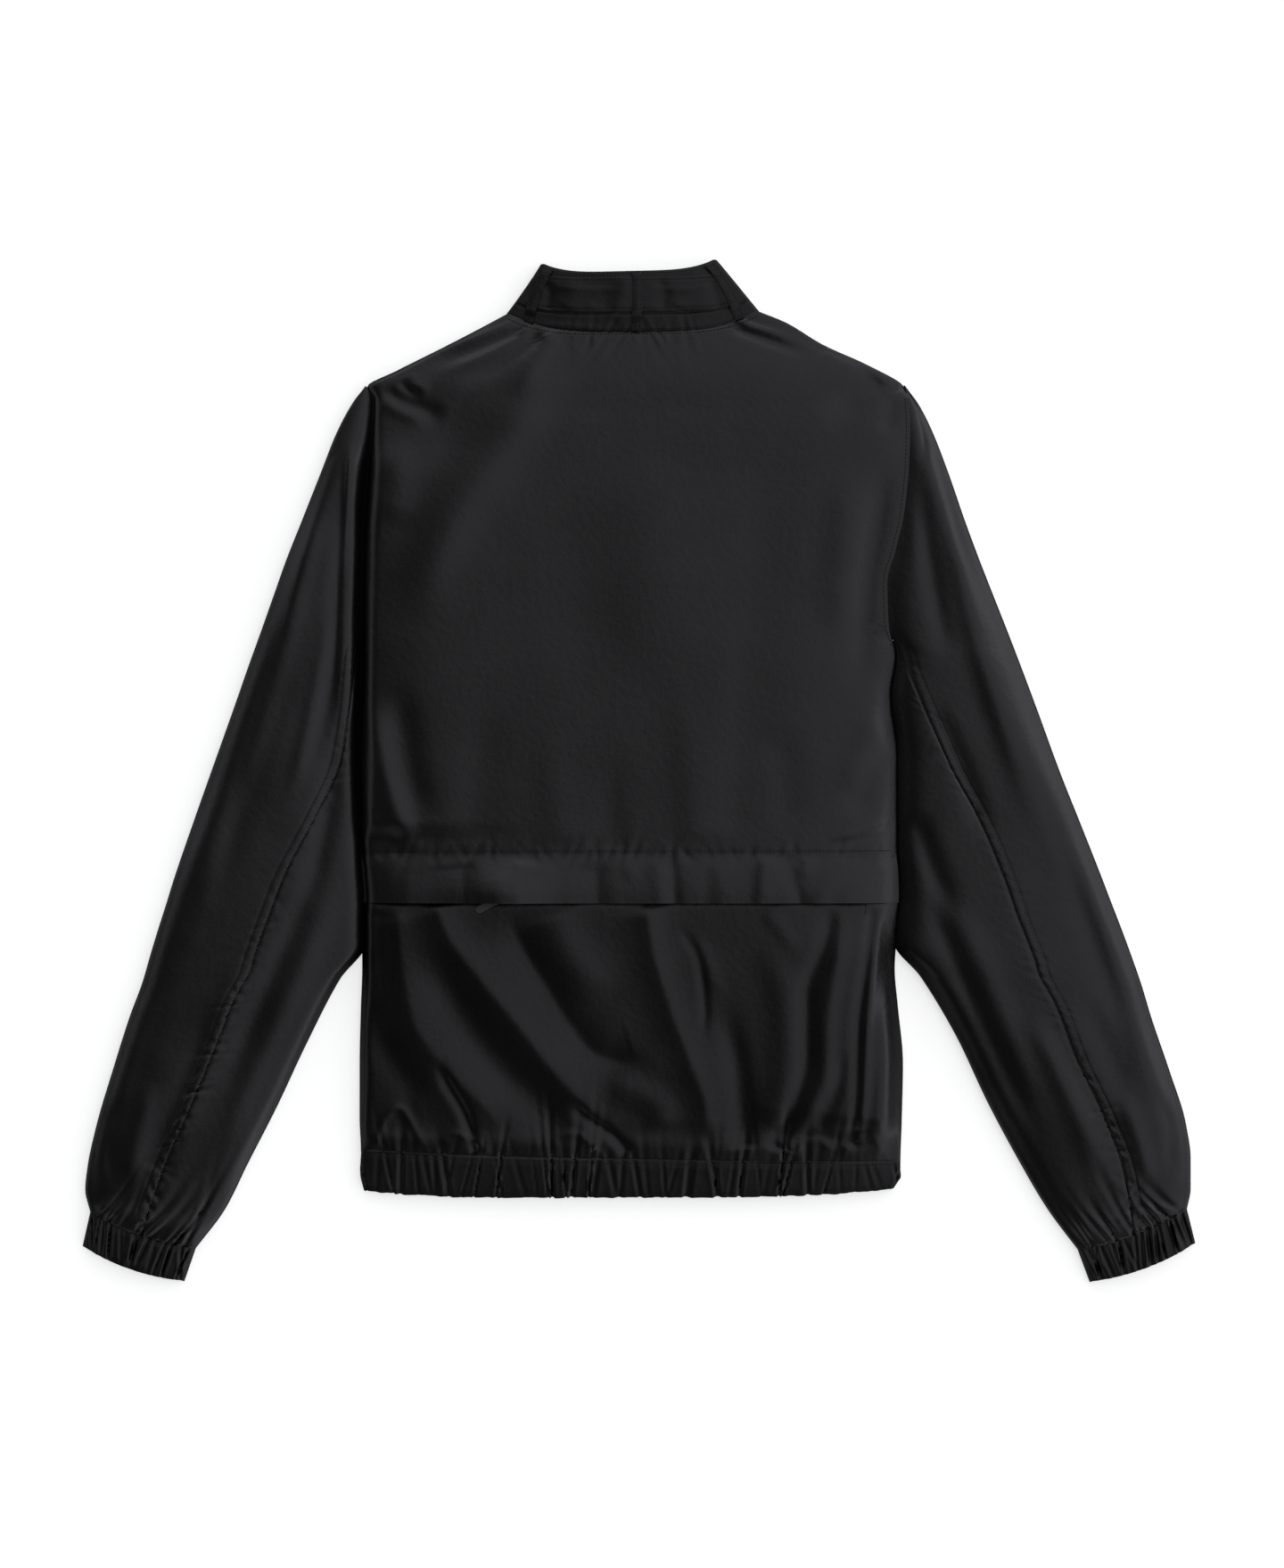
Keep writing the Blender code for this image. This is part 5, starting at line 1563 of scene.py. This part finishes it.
SLEEVES = {
    "right": Sleeve(True, RIGHT_SLEEVE_ROWS, RIGHT_SIDE_ROWS, RIGHT_SLEEVE_CREASES, 1.3, 81,
                    nestle=2.0, armhole_nestle=0.4),
    "left": Sleeve(False, LEFT_SLEEVE_ROWS, LEFT_SIDE_ROWS, LEFT_SLEEVE_CREASES, 1.5, 91,
                   nestle=3.5, armhole_nestle=3.0),
}


@dataclass(frozen=True)
class RowOfBits:
    """A Geometry Nodes set-up that lays small bars along lines at a fixed pitch.

    The pitch, length and thickness are in millimetres. across tells whether the bars lie across the
    line, as the turns of a zip's coil do, or along it, as stitches do.
    """

    name: str
    pitch: float
    length: float
    thickness: float
    across: bool
    finish: Finish
    flatness: float = 1.0  # a bar's height over its breadth
    sides: int = 6

    def tree(self) -> tuple[bpy.types.NodeTree, dict[str, str]]:
        """Builds the node tree.

        Returns:
            The tree and the identifier of each of its inputs.
        """
        tree = bpy.data.node_groups.new(self.name, "GeometryNodeTree")
        face = tree.interface
        face.new_socket("Geometry", in_out="INPUT", socket_type="NodeSocketGeometry")
        names = {}
        for label in ("Pitch", "Length", "Thickness", "Flatness"):
            socket = face.new_socket(label, in_out="INPUT", socket_type="NodeSocketFloat")
            names[label] = socket.identifier
        face.new_socket("Geometry", in_out="OUTPUT", socket_type="NodeSocketGeometry")
        nodes, link = tree.nodes, tree.links.new
        given, result = nodes.new("NodeGroupInput"), nodes.new("NodeGroupOutput")

        lines = nodes.new("GeometryNodeMeshToCurve")
        link(given.outputs["Geometry"], lines.inputs["Mesh"])
        even = nodes.new("GeometryNodeResampleCurve")
        mode = even.inputs.get("Mode")
        if mode is not None:
            mode.default_value = "Length"
        else:
            even.mode = "LENGTH"
        link(lines.outputs["Curve"], even.inputs["Curve"])
        link(given.outputs["Pitch"], even.inputs["Length"])

        bar = nodes.new("GeometryNodeMeshCylinder")
        bar.inputs["Vertices"].default_value = self.sides
        link(given.outputs["Thickness"], bar.inputs["Radius"])
        link(given.outputs["Length"], bar.inputs["Depth"])

        axis = nodes.new("GeometryNodeInputTangent").outputs["Tangent"]
        if self.across:
            cross = nodes.new("ShaderNodeVectorMath")
            cross.operation = "CROSS_PRODUCT"
            link(axis, cross.inputs[0])
            cross.inputs[1].default_value = (0, 0, 1)
            axis = cross.outputs["Vector"]
        turn = nodes.new("FunctionNodeAlignRotationToVector")
        turn.axis = "Z"
        link(axis, turn.inputs["Vector"])
        level = nodes.new("FunctionNodeAlignRotationToVector")
        level.axis = "X"
        level.pivot_axis = "Z"
        level.inputs["Vector"].default_value = (0, 0, 1)
        link(turn.outputs["Rotation"], level.inputs["Rotation"])

        place = nodes.new("GeometryNodeInstanceOnPoints")
        link(even.outputs["Curve"], place.inputs["Points"])
        link(bar.outputs["Mesh"], place.inputs["Instance"])
        link(level.outputs["Rotation"], place.inputs["Rotation"])
        scale = nodes.new("ShaderNodeCombineXYZ")
        link(given.outputs["Flatness"], scale.inputs["X"])
        scale.inputs["Y"].default_value = 1
        scale.inputs["Z"].default_value = 1
        link(scale.outputs["Vector"], place.inputs["Scale"])

        real = nodes.new("GeometryNodeRealizeInstances")
        link(place.outputs["Instances"], real.inputs["Geometry"])
        rounded = nodes.new("GeometryNodeSetShadeSmooth")
        link(real.outputs["Geometry"], rounded.inputs[0])
        dress = nodes.new("GeometryNodeSetMaterial")
        dress.inputs["Material"].default_value = self.finish.material()
        link(rounded.outputs[0], dress.inputs["Geometry"])
        link(dress.outputs["Geometry"], result.inputs["Geometry"])
        return tree, names

    def lay(self, lines: list[Array]) -> bpy.types.Object:
        """Lays the bars along each line as one baked mesh.

        Args:
            lines: each line's points, in millimetres.

        Returns:
            The finished object.
        """
        points, edges = [], []
        for line in lines:
            first = len(points)
            points.extend((line * MM).tolist())
            edges.extend((first + i, first + i + 1) for i in range(len(line) - 1))
        guide_mesh = bpy.data.meshes.new(f"{self.name}_guide")
        guide_mesh.from_pydata(points, edges, [])
        guide = bpy.data.objects.new(f"{self.name}_guide", guide_mesh)
        bpy.context.scene.collection.objects.link(guide)
        tree, names = self.tree()
        modifier = guide.modifiers.new("Bits", "NODES")
        modifier.node_group = tree
        for label, value in (
            ("Pitch", self.pitch * MM),
            ("Length", self.length * MM),
            ("Thickness", self.thickness * MM),
            ("Flatness", self.flatness),
        ):
            modifier[names[label]] = value
        bpy.context.view_layer.update()
        graph = bpy.context.evaluated_depsgraph_get()
        mesh = bpy.data.meshes.new_from_object(guide.evaluated_get(graph))
        bpy.data.objects.remove(guide, do_unlink=True)
        mesh.name = self.name
        if not mesh.materials:
            mesh.materials.append(self.finish.material())
        piece = bpy.data.objects.new(self.name, mesh)
        bpy.context.scene.collection.objects.link(piece)
        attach(piece, "jacket")
        LOG.info("%s: %d lines, %d faces", self.name, len(lines), len(mesh.polygons))
        return piece


@dataclass
class Surface:
    """Finds where a line seen from above or below lies on the finished cloth."""

    pieces: tuple[str, ...]
    from_below: bool = False

    def __post_init__(self) -> None:
        """Makes a search tree of each piece's faces."""
        bpy.context.view_layer.update()
        graph = bpy.context.evaluated_depsgraph_get()
        names = [f"{node}_cloth" for node in self.pieces]
        self.trees = [BVHTree.FromObject(bpy.data.objects[name], graph) for name in names]

    def line(self, plan: Array, proud: float = 0.12) -> list[Array]:
        """Finds the runs of a plan line that lie on the cloth.

        Args:
            plan: the line's points in plan, in millimetres.
            proud: how far off the cloth to place them.

        Returns:
            The points of each run.
        """
        down = Vector((0, 0, 1 if self.from_below else -1))
        start_z = -0.05 if self.from_below else 0.1
        runs, run = [], []
        for x, y in plan:
            hits = [tree.ray_cast(Vector((x * MM, y * MM, start_z)), down)[0] for tree in self.trees]
            heights = [hit.z for hit in hits if hit is not None]
            if heights:
                z = min(heights) if self.from_below else max(heights)
                run.append((x, y, z / MM - down.z * proud))
            elif len(run) > 2:
                runs.append(np.array(run))
                run = []
        if len(run) > 2:
            runs.append(np.array(run))
        return runs


def plan_line(x0: float, y0: float, x1: float, y1: float, step: float = 2.0) -> Array:
    """Returns points along a straight line in plan."""
    count = max(2, int(math.hypot(x1 - x0, y1 - y0) / step))
    return np.stack([np.linspace(x0, x1, count), np.linspace(y0, y1, count)], 1)


@dataclass
class Stitching:
    """Every row of stitches that shows."""

    inset: float = 1.8  # from a seam or an edge to the row of stitches beside it
    flange: float = 8.0  # between the two rows of a felled seam
    armhole_run: tuple[float, float] = (100.0, 290.0)  # heights that the armhole's row runs between
    armhole_inset: float = 3.0

    def body_line(self, key: float, start: float = 0.01, end: float = 0.99) -> Array:
        """Returns a line across the back at a height up its middle."""
        sections = BODY.sections(np.array([key]))
        return sections.points(np.linspace(start, end, 220)[None])[0, :, :2]

    def sleeve_lines(self, sleeve: Sleeve) -> list[Array]:
        """Draws the two rows of the sleeve's felled seam and the row above its cuff.

        Args:
            sleeve: the sleeve.

        Returns:
            The lines' points in plan.
        """
        at = np.linspace(2, sleeve.keys[-1], 330)
        sections, seam = sleeve.sections(at)
        shown = seam > 0.03
        lines = []
        for offset in (1.0, self.flange - 0.6):
            u = (seam + offset / sections.width)[:, None]
            lines.append(sections.points(u)[shown, 0, :2])
        cuff, _ = sleeve.sections(np.array([self.inset]))
        lines.append(cuff.points(np.linspace(0.02, 0.98, 50)[None])[0, :, :2])
        return lines

    def armhole_line(self, right: bool) -> Array:
        """Draws the row of stitches beside an armhole.

        Args:
            right: the right armhole, or else the left.

        Returns:
            The line's points in plan.
        """
        at = np.linspace(*self.armhole_run, 100)
        sections = BODY.sections(at)
        edge, turn = (sections.b, -1) if right else (sections.a, 1)
        return edge + np.array([turn * self.armhole_inset, 0.0])

    def build(self) -> None:
        """Lays the stitches."""
        back = Surface(("back_upper", "back_lower", "back_flap", "hem_band", "collar", "collar_strap",
                        "collar_loop_left", "collar_loop_centre", "collar_loop_right"))
        plans = [
            self.body_line(FLAP_SEAM_Y + self.inset),
            self.body_line(HEM_SEAM_Y + self.inset),
            self.body_line(HEM_SEAM_Y - self.inset - 0.6),
            self.body_line(NECK_Y - self.inset, 0.02, 0.98),
            self.armhole_line(True),
        ]
        collar = Collar()
        for key in (NECK_Y + 2.2, STRAP_LOW_Y + 2.4, STRAP_HIGH_Y - 2.4, collar.keys[-1] - 1.6):
            sections = collar.sections(np.array([key]))
            plans.append(sections.points(np.linspace(0.03, 0.97, 100)[None])[0, :, :2])
        height = collar.keys[-1] - collar.keys[0]
        for low, high in LOOP_PLACES.values():
            for share in (-0.36, 0.36):
                up = np.linspace(0.04, 0.97, 26)
                sections = collar.sections(collar.keys[0] + up * height)
                u = (low + (high - low) * up + share * LOOP_WIDTH / sections.width)[:, None]
                plans.append(sections.points(u)[:, 0, :2])
            for up in (0.07, 0.09, 0.93):
                sections = collar.sections(np.array([collar.keys[0] + up * height]))
                half = 0.4 * LOOP_WIDTH / sections.width[0]
                middle = low + (high - low) * up
                u = np.linspace(middle - half, middle + half, 6)[None]
                plans.append(sections.points(u)[0, :, :2])
        lines = [run for plan in plans for run in back.line(plan)]
        for sleeve in SLEEVES.values():
            on = Surface((f"sleeve_{sleeve.side}_top", f"sleeve_{sleeve.side}_under"))
            lines += [run for plan in self.sleeve_lines(sleeve) for run in on.line(plan)]
        below = Surface(("front_left", "front_right", "hem_band", "collar"), from_below=True)
        for side in (-1, 1):
            x = ZIP_X + side * (CHAIN_WIDTH / 2 + CHAIN_GAP + 2.4)
            lines += below.line(plan_line(x, HEM_Y + 2, x, COLLAR_ROWS[-1].front_y - 2))
            lines += below.line(plan_line(ZIP_X + side * 6, HEM_SEAM_Y + self.inset,
                                          ZIP_X + side * 200, HEM_SEAM_Y + self.inset))
        stitches = RowOfBits("stitches", 3.0, 2.2, 0.3, False, Finishes.THREAD, flatness=0.7)
        stitches.lay(lines)


@dataclass
class ZipCoils:
    """The turns of both zips' coils, a left and a right row that mesh along the middle."""

    pitch: float = 1.5
    reach: float = 3.0  # length of one turn across the chain
    offset: float = 1.1  # from the chain's middle to a row's middle

    def rows(self, middle: Array, across: Array) -> list[Array]:
        """Draws the two rows' lines beside a chain's middle line.

        Args:
            middle: the middle line's points.
            across: the way across the chain, in plan.

        Returns:
            The two lines.
        """
        shift = np.array([*across, 0.0]) * self.offset
        along = (middle[1] - middle[0]) / np.linalg.norm(middle[1] - middle[0])
        return [middle + shift, middle - shift + along * self.pitch / 2]

    def build(self) -> None:
        """Lays the turns on both chains."""
        sections = BODY.sections(np.array([POCKET_ZIP_Y]))
        back = sections.points(np.linspace(0.13, 0.87, 160)[None], CHAIN_PROUD + 0.25)[0]
        front_y = np.linspace(HEM_Y + 3, COLLAR_ROWS[-1].front_y - 3, 380)
        x = np.full_like(front_y, ZIP_X)
        front = np.stack([x, front_y, front_rise(x, front_y) + 0.45], 1)
        clear = np.abs(front_y - FRONT_SLIDER_Y) > FRONT_SLIDER_HALF_LENGTH
        lines = self.rows(back, (0, 1))
        for part in (clear & (front_y < FRONT_SLIDER_Y), clear & (front_y > FRONT_SLIDER_Y)):
            lines += self.rows(front[part], (1, 0))
        turns = RowOfBits("zip_coils", self.pitch, self.reach, 0.5, True, Finishes.CHAIN, flatness=0.7)
        turns.lay(lines)


@dataclass(frozen=True)
class Softbox:
    """A rectangular light: where it stands, what it faces, its size and its power."""

    name: str
    place: tuple[float, float, float]
    size: tuple[float, float]
    power: float
    colour: tuple[float, float, float] = (1.0, 1.0, 1.0)

    def add(self) -> None:
        """Puts the light in the scene, facing the middle of the jacket."""
        data = bpy.data.lights.new(self.name, "AREA")
        data.shape = "RECTANGLE"
        data.size, data.size_y = self.size
        data.energy = self.power
        data.color = self.colour
        light = bpy.data.objects.new(self.name, data)
        light.location = self.place
        light.rotation_euler = (-Vector(self.place)).to_track_quat("-Z", "Y").to_euler()
        bpy.context.scene.collection.objects.link(light)


@dataclass(frozen=True)
class Stage:
    """The white surface, the lights and the camera straight above."""

    centre: tuple[float, float] = (0.00245, -0.0098)
    frame_height: float = 1.2313  # metres that the picture covers, bottom to top
    camera_height: float = 2.6
    frame_level: float = 0.012  # the height at which frame_height is measured
    key_side: tuple[float, float] = (0.85, 0.53)  # the way to the key light, seen from above
    zenith: float = 0.39
    slant: float = 3.8
    brightest: float = 0.66
    ring: float = 0.9
    ring_slant: float = 0.2
    ring_top: float = 0.52  # the rise at which the ring starts, going down
    ring_full: float = 0.18  # and at which it is at its brightest
    sky_colour: tuple[float, float, float] = (0.975, 0.985, 1.0)
    floor_half: float = 4000.0  # millimetres
    floor_glow: float = 0.58
    floor_colour: tuple[float, float, float] = (0.97, 0.97, 0.97)
    softboxes: tuple[Softbox, ...] = (
        Softbox("key", (2.6, 1.7, 1.5), (1.6, 1.2), 5),
    )

    def add_floor(self) -> None:
        """The surface that the jacket lies on."""
        far = self.floor_half
        floor = sheet_mesh("floor", np.array([[(-far, -far, 0), (far, -far, 0)],
                                             [(-far, far, 0), (far, far, 0)]], float))
        paper = bpy.data.materials.new("paper")
        paper.use_nodes = True
        shader = paper.node_tree.nodes["Principled BSDF"]
        shader.inputs["Base Color"].default_value = (*self.floor_colour, 1)
        shader.inputs["Roughness"].default_value = 0.9
        shader.inputs["Specular IOR Level"].default_value = 0.1
        shader.inputs["Emission Color"].default_value = (1, 1, 1, 1)
        shader.inputs["Emission Strength"].default_value = self.floor_glow
        floor.data.materials.append(paper)

    def add_sky(self) -> None:
        """The surround: dim overhead, brighter towards the key side, and bright all round low down."""
        world = bpy.data.worlds.new("surround")
        world.use_nodes = True
        nodes, links = world.node_tree.nodes, world.node_tree.links
        background = nodes["Background"]
        background.inputs["Color"].default_value = (*self.sky_colour, 1)

        def math_node(operation: str, *values: bpy.types.NodeSocket | float) -> bpy.types.NodeSocket:
            """Adds a sum to the surround's nodes."""
            node = nodes.new("ShaderNodeMath")
            node.operation = operation
            for socket, value in zip(node.inputs, values):
                if isinstance(value, (int, float)):
                    socket.default_value = value
                else:
                    links.new(value, socket)
            return node.outputs[0]

        direction = nodes.new("ShaderNodeTexCoord").outputs["Generated"]
        towards = nodes.new("ShaderNodeVectorMath")
        towards.operation = "DOT_PRODUCT"
        links.new(direction, towards.inputs[0])
        towards.inputs[1].default_value = (*self.key_side, 0)
        key = towards.outputs["Value"]
        split = nodes.new("ShaderNodeSeparateXYZ")
        links.new(direction, split.inputs[0])
        rising = math_node("EXPONENT", math_node("MULTIPLY", key, self.slant))
        overhead = math_node("MINIMUM", math_node("MULTIPLY", rising, self.zenith), self.brightest)
        low = nodes.new("ShaderNodeMapRange")
        low.interpolation_type = "SMOOTHSTEP"
        for name, value in (("From Min", self.ring_top), ("From Max", self.ring_full),
                            ("To Min", 0.0), ("To Max", 1.0)):
            low.inputs[name].default_value = value
        links.new(split.outputs["Z"], low.inputs["Value"])
        ring = math_node("MULTIPLY_ADD", key, self.ring_slant, self.ring)
        around = math_node("MULTIPLY", low.outputs["Result"], ring)
        links.new(math_node("ADD", overhead, around), background.inputs["Strength"])
        bpy.context.scene.world = world

    def add_camera(self) -> None:
        """The camera, straight above."""
        data = bpy.data.cameras.new("camera")
        data.sensor_fit = "VERTICAL"
        data.sensor_height = 36.0
        data.lens = data.sensor_height * (self.camera_height - self.frame_level) / self.frame_height
        camera = bpy.data.objects.new("camera", data)
        camera.location = (*self.centre, self.camera_height)
        bpy.context.scene.collection.objects.link(camera)
        bpy.context.scene.camera = camera

    def build(self) -> None:
        """Sets the stage and how the picture is developed."""
        self.add_floor()
        self.add_sky()
        for softbox in self.softboxes:
            softbox.add()
        self.add_camera()
        scene = bpy.context.scene
        scene.view_settings.view_transform = "Standard"
        scene.cycles.use_denoising = True


def finish_nodes() -> None:
    """Gives each CAD node that is still shown its material."""
    for obj in bpy.data.objects:
        if obj.type != "MESH" or not obj.name.startswith(("pocket_zip", "front_zip")):
            continue
        if obj.name.endswith(("slider", "pull")):
            finish = Finishes.METAL
        elif obj.name.endswith("tape"):
            finish = Finishes.TAPE
        else:
            finish = Finishes.CHAIN
        obj.data.materials.clear()
        obj.data.materials.append(finish.material())


def main() -> None:
    """Builds the whole scene."""
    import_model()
    parts = (Backs(), Flap(), Fronts(), HemBand(), Collar(), *SLEEVES.values(), Stitching(), ZipCoils())
    for part in parts:
        part.build()
    finish_nodes()
    Stage().build()


if __name__ == "__main__":
    main()
